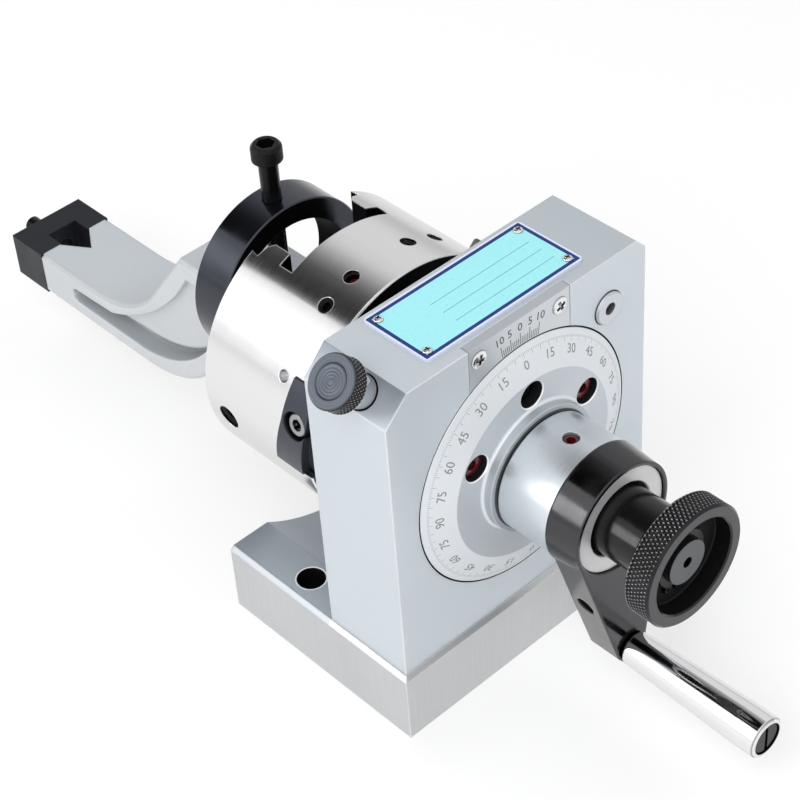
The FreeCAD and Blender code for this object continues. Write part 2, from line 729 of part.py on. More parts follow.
def makeCrank():
    """The crank is drawn hanging straight down in its own frame, then turned on the spindle."""
    front = "-1 * hubFront - crankThickness"
    # The arm's sides are tangents between the boss and a small circle round the handle
    lean = "asin((crankFrontRadius - crankTipHalf) / crankLength)"
    sideX = "crankFrontRadius * cos(%s)" % lean
    sideZ = "-1 * crankFrontRadius * sin(%s)" % lean
    tipX = "crankTipHalf * cos(%s)" % lean
    tipZ = "-1 * crankLength - crankTipHalf * sin(%s)" % lean
    endZ = "-1 * crankLength - crankTipBelow"
    arm = block("CrankArmBody", "XZ", front, "crankThickness", [
        ("-1 * " + sideX, sideZ), ("-1 * " + tipX, tipZ), ("crankTipHalf * -0.5", endZ),
        ("crankTipHalf * 0.5", endZ), (tipX, tipZ), (sideX, sideZ),
    ])
    boss = lathe("CrankBoss", [
        ("-1 * hubFront", "0"), (front, "0"), (front, "crankFrontRadius"), ("-1 * hubFront", "crankBossRadius"),
    ])
    whole = joined("CrankWhole", arm, boss)
    bore = bar("CrankBore", front + " - 1", "1 - hubFront", "spindleRadius")
    cupFloor = front + " + crankCupDepth"
    cup = lathe("CrankCup", [
        ("-1 * shaftShoulder", "0"), (front + " - 1", "0"), (front + " - 1", "crankCupRadius"),
        (cupFloor, "crankCupRadius"), (cupFloor, "crankCupBore"), ("-1 * shaftShoulder", "crankCupBore"),
    ])
    stud = bar("CrankStudHole", front + " - 1", "-1 * hubFront", "handleBore - 0.5")
    place(stud, "0", "0", "-1 * crankLength")
    middle = "(-1 * hubFront - crankThickness / 2)"
    clamp = bar("CrankClampHole", "-1 * crankBossRadius", "0", "crankScrewRadius + 0.5")
    place(clamp, "0", middle, "-1 * crankScrewDrop", headLeft)
    crank = cutBy("CrankArm", whole, bore, cup, stud, clamp)
    hang = FreeCAD.Rotation(FreeCAD.Vector(0, 1, 0), -1 * sizes["crankAngle"])
    keep("crank_arm", place(crank, "0", "0", "spindleHeight", hang))

    screw = bar("CrankScrewBody", "-10", "0", "crankScrewRadius + 0.5")
    hexPocket(screw, "-10", "crankScrewRadius * 1.1", "2.5")
    swing = "crankAngle * 1"
    turned = FreeCAD.Rotation(FreeCAD.Vector(0, 1, 0), -1 * sizes["crankAngle"]).multiply(headLeft)
    place(screw, "crankScrewDrop * sin(%s)" % swing, middle, "spindleHeight - crankScrewDrop * cos(%s)" % swing, turned)
    keep("crank_screw", screw)

    washer = tube("WasherBody", cupFloor + " - washerThickness", cupFloor, "washerInner",
                  "crankCupRadius - runningGap")
    keep("thrust_ring", onSpindle(washer))

    gripX = "crankLength * sin(%s)" % swing
    gripZ = "spindleHeight - crankLength * cos(%s)" % swing
    root = front + " - 0.5"
    tip = "(%s - handleLength)" % root
    grip = lathe("GripBody", [
        (root, "handleBore + runningGap"), (root, "handleRootRadius - 0.6"), (root + " - 0.8", "handleRootRadius"),
        (tip + " + 8", "handleEndRadius"), (tip + " + 0.8", "handleEndRadius"), (tip, "handleEndRadius - 0.8"),
        (tip, "handleHeadRadius + 0.3"), (tip + " + handleHeadHeight + 0.5", "handleHeadRadius + 0.3"),
        (tip + " + handleHeadHeight + 0.5", "handleBore + runningGap"),
    ])
    keep("handle_grip", place(grip, gripX, "0", gripZ))
    bolt = lathe("HandleScrewBody", [
        (tip + " + 0.4", "0"), ("-1 * hubFront", "0"), ("-1 * hubFront", "handleBore - 0.5"),
        (front, "handleBore - 0.5"), (front, "handleBore"), (tip + " + handleHeadHeight", "handleBore"),
        (tip + " + handleHeadHeight", "handleHeadRadius"), (tip + " + 0.4", "handleHeadRadius"),
    ])
    cutOutline(bolt, "XZ", tip + " + 0.4", "1.5", [
        ("-0.5", "-1 * handleHeadRadius - 1"), ("0.5", "-1 * handleHeadRadius - 1"),
        ("0.5", "handleHeadRadius + 1"), ("-0.5", "handleHeadRadius + 1"),
    ])
    keep("handle_screw", place(bolt, gripX, "0", gripZ))


def makeKnob():
    floorY = "(knobRecessDepth - knobFace)"
    knob = lathe("KnobBody", [
        ("-1 * shaftShoulder - 0.1", "shaftEndRadius + runningGap"), ("-1 * shaftShoulder - 0.1", "sleeveRadius"),
        ("knobWidth - knobFace", "sleeveRadius"), ("knobWidth - knobFace", "knobRadius - 0.8"),
        ("knobWidth - knobFace - 0.8", "knobRadius"), ("0.8 - knobFace", "knobRadius"),
        ("-1 * knobFace", "knobRadius - 0.8"), ("-1 * knobFace", "knobRecessRadius"),
        (floorY, "knobRecessRadius"), (floorY, "shaftEndRadius + runningGap"),
    ])
    keep("thumb_nut", onSpindle(knob))
    # The retaining ring is drawn with its gap straight down, then turned on the shaft
    back = floorY + " - 0.1"
    front = back + " - clipThickness"
    clip = tube("ClipBody", back, front, "shaftEndRadius", "clipRadius")
    cutOutline(clip, "XZ", front, "clipThickness", [
        ("-1 * clipGapHalf", "-1 * clipRadius - 1"), ("clipGapHalf", "-1 * clipRadius - 1"),
        ("clipGapHalf", "1 - shaftEndRadius"), ("-1 * clipGapHalf", "1 - shaftEndRadius"),
    ])
    ears = []
    holes = []
    for side, name in (("-1 * clipEarSpread", "Left"), ("clipEarSpread", "Right")):
        ears.append(place(bar("ClipEar" + name, back, front, "clipEarRadius"), side, "0", "-1 * clipEarReach"))
        holes.append(place(bar("ClipHole" + name, back, front, "clipEarHole"), side, "0", "-1 * clipEarReach"))
    whole = cutBy("Clip", joined("ClipWhole", clip, *ears), *holes)
    turn = FreeCAD.Rotation(FreeCAD.Vector(0, 1, 0), sizes["clipAngle"])
    keep("retaining_ring", place(whole, "0", "0", "spindleHeight", turn))


def makePlunger():
    outer = "-1 * (%s + plungerReach + plungerKnobWidth - 1)" % plungerFace
    back = "-1 * (%s + plungerReach)" % plungerFace
    parked = "(indexPlateRadius + 1.2)"
    pin = lathe("PlungerPinBody", [
        (outer, "0"), ("-1 * " + parked, "0"), ("-1 * " + parked, "plungerNose - 0.8"),
        ("-1 * (indexPlateRadius + 2)", "plungerNose"), ("-1 * plungerShoulder", "plungerNose"),
        ("-1 * plungerShoulder", "plungerRadius"), (back, "plungerRadius"), (back, "plungerNose"),
        (outer, "plungerNose"),
    ])
    keep("plunger_pin", radial(pin, "-1 * plungerAngle", "plungerSetback"))
    knob = lathe("PlungerKnobBody", [
        (back, "plungerNose"), (back, "plungerKnobRadius - 1"), (back + " - 0.6", "plungerKnobRadius"),
        (back + " - plungerKnobWidth + 0.8", "plungerKnobRadius"), (back + " - plungerKnobWidth", "plungerKnobRadius - 0.8"),
        (back + " - plungerKnobWidth", "0"), (outer, "0"), (outer, "plungerNose"),
    ])
    keep("plunger_knob", radial(knob, "-1 * plungerAngle", "plungerSetback"))


def makeDrum():
    body = lathe("DrumBody", [
        ("drumNear", "spigotRadius"), ("drumFar", "spigotRadius"), ("drumFar", "drumRadius - drumEdge"),
        ("drumFar - drumEdge", "drumRadius"), ("drumNear + drumEdge", "drumRadius"),
        ("drumNear", "drumRadius - drumEdge"),
    ])
    lipNear = "(slotFloor + slotFootDepth)"
    lipFar = "(slotFloor + slotFootDepth + slotLipDepth)"
    right = [("slotFootHalf", "slotFloor"), ("slotFootHalf", lipNear), ("slotLipHalf", lipNear),
             ("slotLipHalf", lipFar), ("slotLipHalf + 1.7", lipFar + " + 1.7"),
             ("slotUndercut", lipFar + " + 2.6"), ("slotMouthHalf", "drumFar + 1")]
    left = [("-1 * (%s)" % x, y) for x, y in reversed(right)]
    cutOutline(body, "XY", "-1 * drumRadius - 1", "drumRadius * 2 + 2", right + left)
    onSpindle(body)
    tools = []
    sinks = {-2: "drumScrewShallow", -1: "drumScrewSink", 1: "drumScrewSink", 2: "drumScrewSink"}
    for step in sinks:
        bore = stepped("DrumScrewBore%d" % (step + 3), "drumRadius + 1", "drumScrewShoulder", "spigotRadius",
                       "drumScrewRadius", "drumScrewPoint")
        tools.append(radial(bore, "drumScrewStep * %d" % step, "drumScrewRing"))
    # The slide's lock screw ends in a dog point, which reaches through the lip of the slot
    bore = stepped("SlideScrewBore", "drumRadius + 1", "slotUndercut + 1", "slotLipHalf - 1",
                   "slideScrewRadius", "slideScrewPoint")
    tools.append(place(bore, "0", "slideScrewSetback", "slideScrewHeight", headLeft))
    bore = bar("StopPinBore", "-1 * drumRadius - 1", "-1 * drumRadius + 6", "stopPinRadius")
    tools.append(radial(bore, "stopPinAngle", "stopPinSetback"))
    bore = bar("DrumPlainHole", "-1 * drumRadius - 1", "-1 * drumRadius + drumHoleDepth", "drumHoleRadius")
    tools.append(radial(bore, "-1 * drumHoleAngle", "drumHoleSetback"))
    tools.append(segmentPart("SegmentSeat", "drumRadius + 2", segmentSide("runningGap", False)))
    keep("drum", cutBy("Drum", body, *tools))

    for index, (step, sink) in enumerate(sinks.items(), start=1):
        outer = "drumRadius - " + sink
        screw = stepped("DrumScrewBody%d" % index, outer, "drumScrewShoulder", "spigotRadius",
                        "drumScrewRadius", "drumScrewPoint")
        setScrew(screw, outer, "drumScrewRadius")
        keep("drum_screw_%d" % index, radial(screw, "drumScrewStep * %d" % step, "drumScrewRing"))
    outer = "drumRadius - slideScrewSink"
    lock = stepped("SlideScrewBody", outer, "slotUndercut + 1", "slotLipHalf", "slideScrewRadius", "slideScrewPoint")
    setScrew(lock, outer, "slideScrewRadius")
    keep("slide_lock_screw", place(lock, "0", "slideScrewSetback", "slideScrewHeight", headLeft))
    pin = lathe("StopPinBody", [
        ("-1 * stopPinReach", "0"), ("-1 * drumRadius + 6", "0"), ("-1 * drumRadius + 6", "stopPinRadius"),
        ("-1 * stopPinReach + 0.6", "stopPinRadius"), ("-1 * stopPinReach", "stopPinRadius - 0.6"),
    ])
    keep("stop_pin", radial(pin, "stopPinAngle", "stopPinSetback"))
    makeSegment()


def makeSegment():
    """The black segment, let into the drum's rim and stepped down along its near lower edge."""
    low = segmentPart("SegmentLow", "drumRadius - segmentStepDepth", segmentSide("0", False))
    high = segmentPart("SegmentHigh", "drumRadius + segmentProud", segmentSide("0", True))
    angle = "-1 * segmentScrewAngle"
    row = "drumNear + segmentScrewSetback"
    outer = "-1 * drumRadius - segmentProud - 1"
    sink = bar("SegmentSink", outer, "segmentScrewSink - drumRadius", "segmentSinkRadius")
    hole = bar("SegmentHole", outer, "segmentDepth - drumRadius + 1", "segmentShankRadius")
    radial(sink, angle, row)
    radial(hole, angle, row)
    keep("drum_segment", cutBy("Segment", joined("SegmentWhole", low, high), sink, hole))
    screw = socketScrew("SegmentScrewBody", "segmentShankRadius", "segmentDepth - segmentScrewSink",
                        "segmentHeadRadius", "segmentHeadHeight")
    turn = FreeCAD.Rotation(FreeCAD.Vector(0, 1, 0), number(angle)).multiply(headUp)
    reach = "(drumRadius - segmentScrewSink)"
    place(screw, "-1 * %s * sin(segmentScrewAngle * 1)" % reach, row,
          "spindleHeight + %s * cos(segmentScrewAngle * 1)" % reach, turn)
    keep("segment_screw", screw)


def segmentSide(gap, raised):
    """The segment's outline in side view, from the spindle axis up."""
    low = "-1 * segmentDrop - " + gap
    near = [("drumNear + segmentStepWidth", low)] if raised else [("drumNear", low)]
    far = [
        ("drumNear + segmentFootWidth + " + gap, low), ("drumNear + segmentMidWidth + " + gap, "segmentMiddle"),
        ("drumNear + segmentTopWidth + " + gap, "segmentRise + " + gap), ("drumNear", "segmentRise + " + gap),
    ]
    return near + far + ([("drumNear", "segmentStepRise")] if raised else [])


def segmentPart(name, outer, side):
    """What a side outline covers of the ring below the drum's rim, on the left."""
    ring = onSpindle(tube(name + "Ring", "drumNear", "drumFar", "drumRadius - segmentDepth", outer))
    slab = onSpindle(block(name + "Slab", "YZ", "-2 * drumRadius", "drumRadius * 1.5", side))
    return common(name, ring, slab)


def common(name, first, second):
    result = doc.addObject("Part::MultiCommon", name)
    result.Shapes = [first, second]
    return result


def makeSlide():
    """The V slide: a T foot in the drum's slot and a round-bottomed nose with a 90 degree V."""
    lipNear = "(slotFloor + slotFootDepth)"
    foot = [("slotFootHalf - slideFit", "slotFloor + slideFit"), ("slotFootHalf - slideFit", lipNear + " - slideFit"),
            ("slotLipHalf - slideFit", lipNear + " - slideFit"), ("slotLipHalf - slideFit", "drumFar + slideShoulder")]
    back = [("-1 * (%s)" % x, y) for x, y in reversed(foot)]
    body = block("SlideFoot", "XY", "slideBottom", "slideTop - slideBottom", foot + back)
    nose = bar("SlideNoseBar", "drumFar + 2", "slideNose", "ringInner - runningGap")
    place(nose, "0", "0", "ringHeight")
    trim = block("SlideTrim", "XZ", "drumFar", "slideNose", [
        ("-1 * (slotLipHalf - slideFit)", "slideBottom"), ("slotLipHalf - slideFit", "slideBottom"),
        ("slotLipHalf - slideFit", "slideTop"), ("-1 * (slotLipHalf - slideFit)", "slideTop"),
    ])
    shaped = common("SlideNose", nose, trim)
    groove = block("SlideGroove", "XZ", "slotFloor - 1", "slideNose", [
        ("-1 * veeHalf - 1", "slideTop + 1"), ("0", "slideTop - veeHalf"), ("veeHalf + 1", "slideTop + 1"),
    ])
    keep("v_slide", cutBy("Slide", joined("SlideWhole", body, shaped), groove))

    ringFar = "ringNear + ringWidth"
    ring = lathe("RingBody", [
        ("ringNear", "ringInner"), (ringFar, "ringInner"), (ringFar, "ringOuter - ringEdge"),
        (ringFar + " - ringEdge", "ringOuter"), ("ringNear + ringEdge", "ringOuter"),
        ("ringNear", "ringOuter - ringEdge"),
    ])
    place(ring, "0", "0", "ringHeight")
    row = "ringNear + ringWidth / 2"
    hole = bar("ClampHole", "-1 * ringOuter - 1", "0", "clampRadius + runningGap")
    place(hole, "0", row, "ringHeight", headUp)
    keep("clamp_ring", cutBy("Ring", ring, hole))

    screw = socketScrew("ClampScrewBody", "clampRadius", "clampHeadSeat - armTop - slideFit - padHeight",
                        "clampHeadRadius", "clampHeadHeight")
    keep("clamp_screw", place(screw, "0", row, "clampHeadSeat", headUp))
    padBody = lathe("ClampPadBody", [
        ("-1 * padHeight", "0"), ("0", "0"), ("0", "padRadius - 0.4"), ("-0.4", "padRadius"),
        ("-1 * padHeight", "padRadius"),
    ])
    keep("clamp_pad", place(padBody, "0", row, "armTop + slideFit", headUp))


def makeArm():
    """The cranked dresser arm, drawn in side view and pocketed on both sides.

    The deep groove follows the pocket's lower rim, and the pocket laps into it.
    """
    arm = newBody("ArmBody")
    sketch = sketchOn(arm, "YZ", "-1 * armHalf")
    outline(sketch, [
        ("armShankEnd", "slideTop + looseGap"), (legFront, "slideTop + looseGap"),
        (legFront, "armFootBottom"), ("armReach", "armFootBottom"), ("armReach", "armFootTop"),
        ("armLegToe", "armFootTop"), ("armLegTop", "armTop"), ("armShankEnd", "armTop"),
    ])
    pad(arm, sketch, "armHalf * 2")
    bevel(arm, "armOuterBend", lambda edge, middle: isLine(edge, "x") and near(middle.y, legFront)
          and near(middle.z, "armFootBottom"), "PartDesign::Fillet")
    bevel(arm, "armInnerBend", lambda edge, middle: isLine(edge, "x") and near(middle.y, "armLegToe")
          and near(middle.z, "armFootTop"), "PartDesign::Fillet")
    bevel(arm, "armEdge", lambda edge, middle: near(abs(middle.x), "armHalf") and not near(middle.y, "armReach"))
    cutOutline(arm, "XY", "armFootBottom", "armFootTop - armFootBottom", [
        ("0", "armReach - armVeeDepth"), ("armVeeHalf", "armReach"), ("armVeeHalf", "armReach + 1"),
        ("-1 * armVeeHalf", "armReach + 1"), ("-1 * armVeeHalf", "armReach"),
    ])
    for start, length in (("-1 * armHalf", "armPocketDepth"), ("armHalf - armPocketDepth", "armPocketDepth")):
        cutOutline(arm, "YZ", start, length, [
            ("armPocketSide", "armPocketLow"), ("armPocketSide", "armPocketTop - armPocketCorner"),
            ("armPocketSide + armPocketCorner", "armPocketTop"),
            ("armPocketShoulder", "armPocketTop", "armPocketBend"), ("armPocketToe", "armPocketToeHeight"),
            ("armRimStart", "armRimHeight - armRimLap", "-1 * armRimBend"),
            ("armPocketHeel", "armPocketHeelHeight", "-1 * armPocketSideBend"),
        ])
    for start, length in (("-1 * armHalf", "armGrooveDepth"), ("armHalf - armGrooveDepth", "armGrooveDepth")):
        cutOutline(arm, "YZ", start, length, [
            ("armGrooveEnd", "armGrooveBottom", "(armGrooveTop - armGrooveBottom) * 0.51"),
            ("armGrooveEnd", "armGrooveTop"), ("armRimStart", "armRimHeight", "-1 * armRimBend"),
            ("armGrooveTip", "armGrooveTipTop"), ("armGrooveTip", "armGrooveTipBottom", "armGrooveBend"),
            ("armGrooveTurn", "armGrooveBottom"),
        ])
    tongue = block("ArmTongue", "XZ", "armShankEnd", "slideNose - armShankEnd", [
        ("0", "slideTop - veeHalf"), ("veeHalf + looseGap", "slideTop + looseGap"), ("veeHalf", "armTop - 1"),
        ("-1 * veeHalf", "armTop - 1"), ("-1 * veeHalf - looseGap", "slideTop + looseGap"),
    ])
    middle = "(armFootTop + armFootBottom) / 2"
    sides = (("jawScrewSpacing / -2", "left"), ("jawScrewSpacing / 2", "right"))
    holes = []
    for side, name in sides:
        hole = bar("ArmHole" + name, "-1 * jawScrewLength", "10", "jawScrewRadius")
        holes.append(place(hole, side, "armReach + jawLength - jawHeadHeight - 0.5", middle, straight))
    keep("dresser_arm", cutBy("Arm", joined("ArmWhole", arm, tongue), *holes))

    jaw = block("JawBody", "XY", "armFootBottom", "armFootTop - armFootBottom", [
        ("-1 * armHalf", "armReach"), ("-1 * jawNotchHalf", "armReach"), ("-1 * jawNotchHalf", "armReach + jawNotchDepth"),
        ("jawNotchHalf", "armReach + jawNotchDepth"), ("jawNotchHalf", "armReach"), ("armHalf", "armReach"),
        ("armHalf", "armReach + jawLength"), ("-1 * armHalf", "armReach + jawLength"),
    ])
    seat = "armReach + jawLength - jawHeadHeight - 0.5"
    for side, name in sides:
        cutDiscs(jaw, "XZ", "armReach", "jawLength", [(side, middle, "jawScrewRadius + runningGap")])
        cutDiscs(jaw, "XZ", seat, "jawHeadHeight + 1", [(side, middle, "jawHeadRadius + looseGap")])
        screw = socketScrew("JawScrew" + name, "jawScrewRadius", "jawScrewLength", "jawHeadRadius", "jawHeadHeight")
        keep("jaw_screw_" + name, place(screw, side, seat, middle, headRear))
    cutDiscs(jaw, "XZ", "armReach + jawNotchDepth - 1", "jawLength", [("0", middle, "jawClampRadius + runningGap")])
    keep("dresser_jaw", jaw)
    clamp = bar("JawClampBody", "-1 * jawClampProud", "jawLength - jawNotchDepth", "jawClampRadius")
    hexPocket(clamp, "-1 * jawClampProud", "jawClampRadius", "3")
    keep("jaw_clamp_screw", place(clamp, "0", "armReach + jawLength", middle, headRear))


spots = makeBase()
makeHousing(spots)
makeFrontPlates()
makeSpindle()
makeHub()
makeCrank()
makeKnob()
makePlunger()
makeDrum()
makeSlide()
makeArm()
doc.recompute()

for item in doc.Objects:
    if "Invalid" in item.State or "Error" in item.State:
        raise RuntimeError(item.Name + " failed: " + item.getStatusString())
for label, item in nodes.items():
    if item.Shape.isNull() or not item.Shape.isValid():
        raise RuntimeError(label + " has no valid shape")

os.makedirs("parts", exist_ok=True)
for label, item in nodes.items():
    item.Shape.exportStep("parts/%s.step" % label)
    box = item.Shape.BoundBox
    print("%-22s solids %d volume %9.1f  x %7.2f %7.2f  y %7.2f %7.2f  z %7.2f %7.2f" % (
        label, len(item.Shape.Solids), item.Shape.Volume, box.XMin, box.XMax, box.YMin, box.YMax, box.ZMin, box.ZMax))
print(len(nodes), "nodes")
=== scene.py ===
import json
import math

import bmesh
import bpy
from mathutils import Matrix, Vector


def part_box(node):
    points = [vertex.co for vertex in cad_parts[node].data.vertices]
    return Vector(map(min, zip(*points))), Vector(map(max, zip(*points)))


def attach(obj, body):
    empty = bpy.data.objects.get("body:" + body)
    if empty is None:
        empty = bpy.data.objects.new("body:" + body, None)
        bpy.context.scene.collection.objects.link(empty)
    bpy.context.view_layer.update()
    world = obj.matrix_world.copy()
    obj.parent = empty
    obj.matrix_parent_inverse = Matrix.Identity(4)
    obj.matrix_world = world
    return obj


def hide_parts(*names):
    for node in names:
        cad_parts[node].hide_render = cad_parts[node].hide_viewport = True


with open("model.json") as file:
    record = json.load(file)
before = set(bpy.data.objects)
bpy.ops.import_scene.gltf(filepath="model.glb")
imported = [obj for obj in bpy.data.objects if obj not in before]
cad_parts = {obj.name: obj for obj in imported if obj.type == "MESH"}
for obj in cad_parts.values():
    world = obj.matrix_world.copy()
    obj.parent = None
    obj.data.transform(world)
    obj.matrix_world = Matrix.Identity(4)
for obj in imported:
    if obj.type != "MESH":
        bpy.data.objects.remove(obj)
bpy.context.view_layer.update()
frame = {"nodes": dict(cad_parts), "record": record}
nodes = frame["nodes"]
print("loaded the model,", len(nodes), "nodes")

mm = 0.001


# The lowest and highest corner of a CAD node, in millimetres
def edges(name):
    low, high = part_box(name)
    return low / mm, high / mm


# Stations read from the model, in millimetres
dialLow, dialHigh = edges("dial")
spindleZ = (dialLow.z + dialHigh.z) / 2
dialRadius = (dialHigh.x - dialLow.x) / 2
nutLow, nutHigh = edges("thumb_nut")
nutRadius = (nutHigh.x - nutLow.x) / 2
plateLow, plateHigh = edges("nameplate")
vernierLow, vernierHigh = edges("vernier_plate")
drumLow, drumHigh = edges("drum")
drumRadius = (drumHigh.x - drumLow.x) / 2
baseLow, baseHigh = edges("base")
portLow, portHigh = edges("oil_port")


# Shapes

# An object of its own in the scene
def linked(name, data):
    item = bpy.data.objects.new(name, data)
    bpy.context.scene.collection.objects.link(item)
    return item


# Smooth shading up to an angle in degrees
def smooth(mesh, sharp=30):
    mesh.shade_smooth()
    mesh.set_sharp_from_angle(angle=math.radians(sharp))


# The mesh that an object's modifiers or its text make
def plainMesh(item):
    seen = item.evaluated_get(bpy.context.evaluated_depsgraph_get())
    mesh = bpy.data.meshes.new_from_object(seen)
    item.modifiers.clear()
    return mesh


# A mesh given in millimetres becomes an object in metres
def meshObject(name, vertices, faces):
    mesh = bpy.data.meshes.new(name)
    mesh.from_pydata([Vector(v) * mm for v in vertices], [], faces)
    mesh.validate()
    smooth(mesh)
    return linked(name, mesh)


# A closed profile of (along, radius) corners turned about the Y axis; ripple(angle, along, radius)
# may give another radius at each point
def turned(name, profile, steps=128, ripple=None):
    count = len(profile)
    vertices = []
    for step in range(steps):
        angle = 2 * math.pi * step / steps
        for y, r in profile:
            reach = ripple(angle, y, r) if ripple else r
            vertices.append((reach * math.sin(angle), y, reach * math.cos(angle)))
    faces = []
    for step in range(steps):
        here, there = step * count, (step + 1) % steps * count
        for i in range(count):
            j = (i + 1) % count
            faces.append((here + i, here + j, there + j, there + i))
    item = meshObject(name, vertices, faces)
    tidyMesh(item)
    return item


# Merge doubles, turn the faces outwards and set the sharp edges again
def tidyMesh(item):
    work = bmesh.new()
    work.from_mesh(item.data)
    bmesh.ops.remove_doubles(work, verts=work.verts, dist=1e-7)
    bmesh.ops.dissolve_degenerate(work, edges=work.edges, dist=1e-8)
    bmesh.ops.recalc_face_normals(work, faces=work.faces)
    work.to_mesh(item.data)
    work.free()
    smooth(item.data)


# Turn and shift a finished mesh in its own data, in millimetres
def move(item, x=0.0, y=0.0, z=0.0, turn=None):
    if turn is not None:
        item.data.transform(turn)
    item.data.transform(Matrix.Translation(Vector((x, y, z)) * mm))
    return item


# Several mesh objects joined into one
def merged(name, items):
    work = bmesh.new()
    for item in items:
        work.from_mesh(item.data)
    mesh = bpy.data.meshes.new(name)
    work.to_mesh(mesh)
    work.free()
    for item in items:
        bpy.data.objects.remove(item)
    smooth(mesh)
    return linked(name, mesh)


# Take one closed mesh from another and leave a plain mesh
def carved(item, cutter):
    modifier = item.modifiers.new("Cut", "BOOLEAN")
    modifier.operation = "DIFFERENCE"
    modifier.solver = "EXACT"
    modifier.object = cutter
    item.data = plainMesh(item)
    bpy.data.objects.remove(cutter)
    tidyMesh(item)
    return item


# Give a piece its finish, its body and the CAD nodes that it stands for
def dress(item, material, body, slot, *replaced):
    item.data.materials.clear()
    item.data.materials.append(material)
    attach(item, body)
    if replaced:
        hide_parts(*replaced)
    return item


# Nodes

# The nodes of any tree, each made with its inputs and settings in one call
class Graph:

    def __init__(self, tree):
        self.nodes = tree.nodes
        self.links = tree.links

    def put(self, value, socket):
        if isinstance(value, bpy.types.Node):
            value = value.outputs[0]
        if isinstance(value, bpy.types.NodeSocket):
            self.links.new(value, socket)
        else:
            socket.default_value = value

    def add(self, kind, inputs=None, **settings):
        node = self.nodes.new(kind)
        for key, value in settings.items():
            setattr(node, key, value)
        for key, value in (inputs or {}).items():
            self.put(value, node.inputs[key])
        return node

    def math(self, operation, *values, clamp=False):
        return self.add("ShaderNodeMath", dict(enumerate(values)), operation=operation, use_clamp=clamp).outputs[0]


# Geometry Nodes

# A Geometry Nodes tree with named inputs; a name put into a socket stands for that input
class Tree(Graph):

    def __init__(self, name, inputs):
        self.tree = bpy.data.node_groups.new(name, "GeometryNodeTree")
        super().__init__(self.tree)
        self.sockets = {}
        for label, kind, value in [("Geometry", "Geometry", None)] + inputs + [("Material", "Material", None)]:
            socket = self.tree.interface.new_socket(label, in_out="INPUT", socket_type="NodeSocket" + kind)
            if value is not None:
                socket.default_value = value
            self.sockets[label] = socket.identifier
        self.tree.interface.new_socket("Geometry", in_out="OUTPUT", socket_type="NodeSocketGeometry")
        self.given = self.add("NodeGroupInput")
        self.result = self.add("NodeGroupOutput")

    def put(self, value, socket):
        super().put(self.given.outputs[value] if isinstance(value, str) else value, socket)

    def vector(self, x, y, z):
        return self.add("ShaderNodeCombineXYZ", {0: x, 1: y, 2: z}).outputs[0]

    def finish(self, geometry):
        real = self.add("GeometryNodeRealizeInstances", {0: geometry})
        coloured = self.add("GeometryNodeSetMaterial", {0: real, "Material": "Material"})
        self.put(coloured, self.result.inputs[0])

    # Run the tree on an object and leave a plain mesh in its place
    def bake(self, item, material, settings=None):
        modifier = item.modifiers.new("Rule", "NODES")
        modifier.node_group = self.tree
        modifier[self.sockets["Material"]] = material
        for label, value in (settings or {}).items():
            modifier[self.sockets[label]] = value
        item.data = plainMesh(item)
        return item


# Straight marks round an arc, on a flat face or on a cone that rises inwards; some are longer
def marksTree():
    inputs = [
        ("Count", "Int", 10), ("Start", "Float", 0.0), ("Step", "Float", 0.01), ("Radius", "Float", 0.03),
        ("Outwards", "Float", 1.0), ("Width", "Float", 0.0002), ("Thickness", "Float", 0.00004),
        ("Short", "Float", 0.001), ("Middle", "Float", 0.002), ("Long", "Float", 0.003),
        ("Offset", "Int", 0), ("Middle every", "Int", 5), ("Long every", "Int", 10),
        ("Face", "Float", 0.0), ("Rise", "Float", 0.0), ("Centre height", "Float", 0.077),
    ]
    tree = Tree("Scale marks", inputs)
    line = tree.add("GeometryNodeMeshLine", {"Count": "Count", "Offset": (0, 0, 0)})
    index = tree.add("GeometryNodeInputIndex").outputs[0]
    shifted = tree.math("ADD", index, "Offset")
    isMiddle = tree.math("LESS_THAN", tree.math("FLOORED_MODULO", shifted, "Middle every"), 0.5)
    isLong = tree.math("LESS_THAN", tree.math("FLOORED_MODULO", shifted, "Long every"), 0.5)
    middle = tree.math("MULTIPLY", isMiddle, tree.math("SUBTRACT", "Middle", "Short"))
    longer = tree.math("MULTIPLY", isLong, tree.math("SUBTRACT", "Long", "Middle"))
    length = tree.math("ADD", tree.math("ADD", middle, longer), "Short")
    angle = tree.math("ADD", tree.math("MULTIPLY", index, "Step"), "Start")
    half = tree.math("MULTIPLY", tree.math("MULTIPLY", length, 0.5), "Outwards")
    reach = tree.math("ADD", half, "Radius")
    face = tree.math("ADD", tree.math("MULTIPLY", half, "Rise"), "Face")
    across = tree.math("MULTIPLY", reach, tree.math("SINE", angle))
    up = tree.math("ADD", tree.math("MULTIPLY", reach, tree.math("COSINE", angle)), "Centre height")
    placed = tree.add("GeometryNodeSetPosition", {0: line, "Position": tree.vector(across, face, up)})
    lean = tree.math("MULTIPLY", tree.math("ARCTANGENT", "Rise"), -1.0)
    bar = tree.add("GeometryNodeMeshCube", {"Size": (1, 1, 1)})
    marks = tree.add("GeometryNodeInstanceOnPoints", {
        "Points": placed, "Instance": bar.outputs[0], "Rotation": tree.vector(lean, angle, 0.0),
        "Scale": tree.vector("Width", "Thickness", length),
    })
    tree.finish(marks)
    return tree


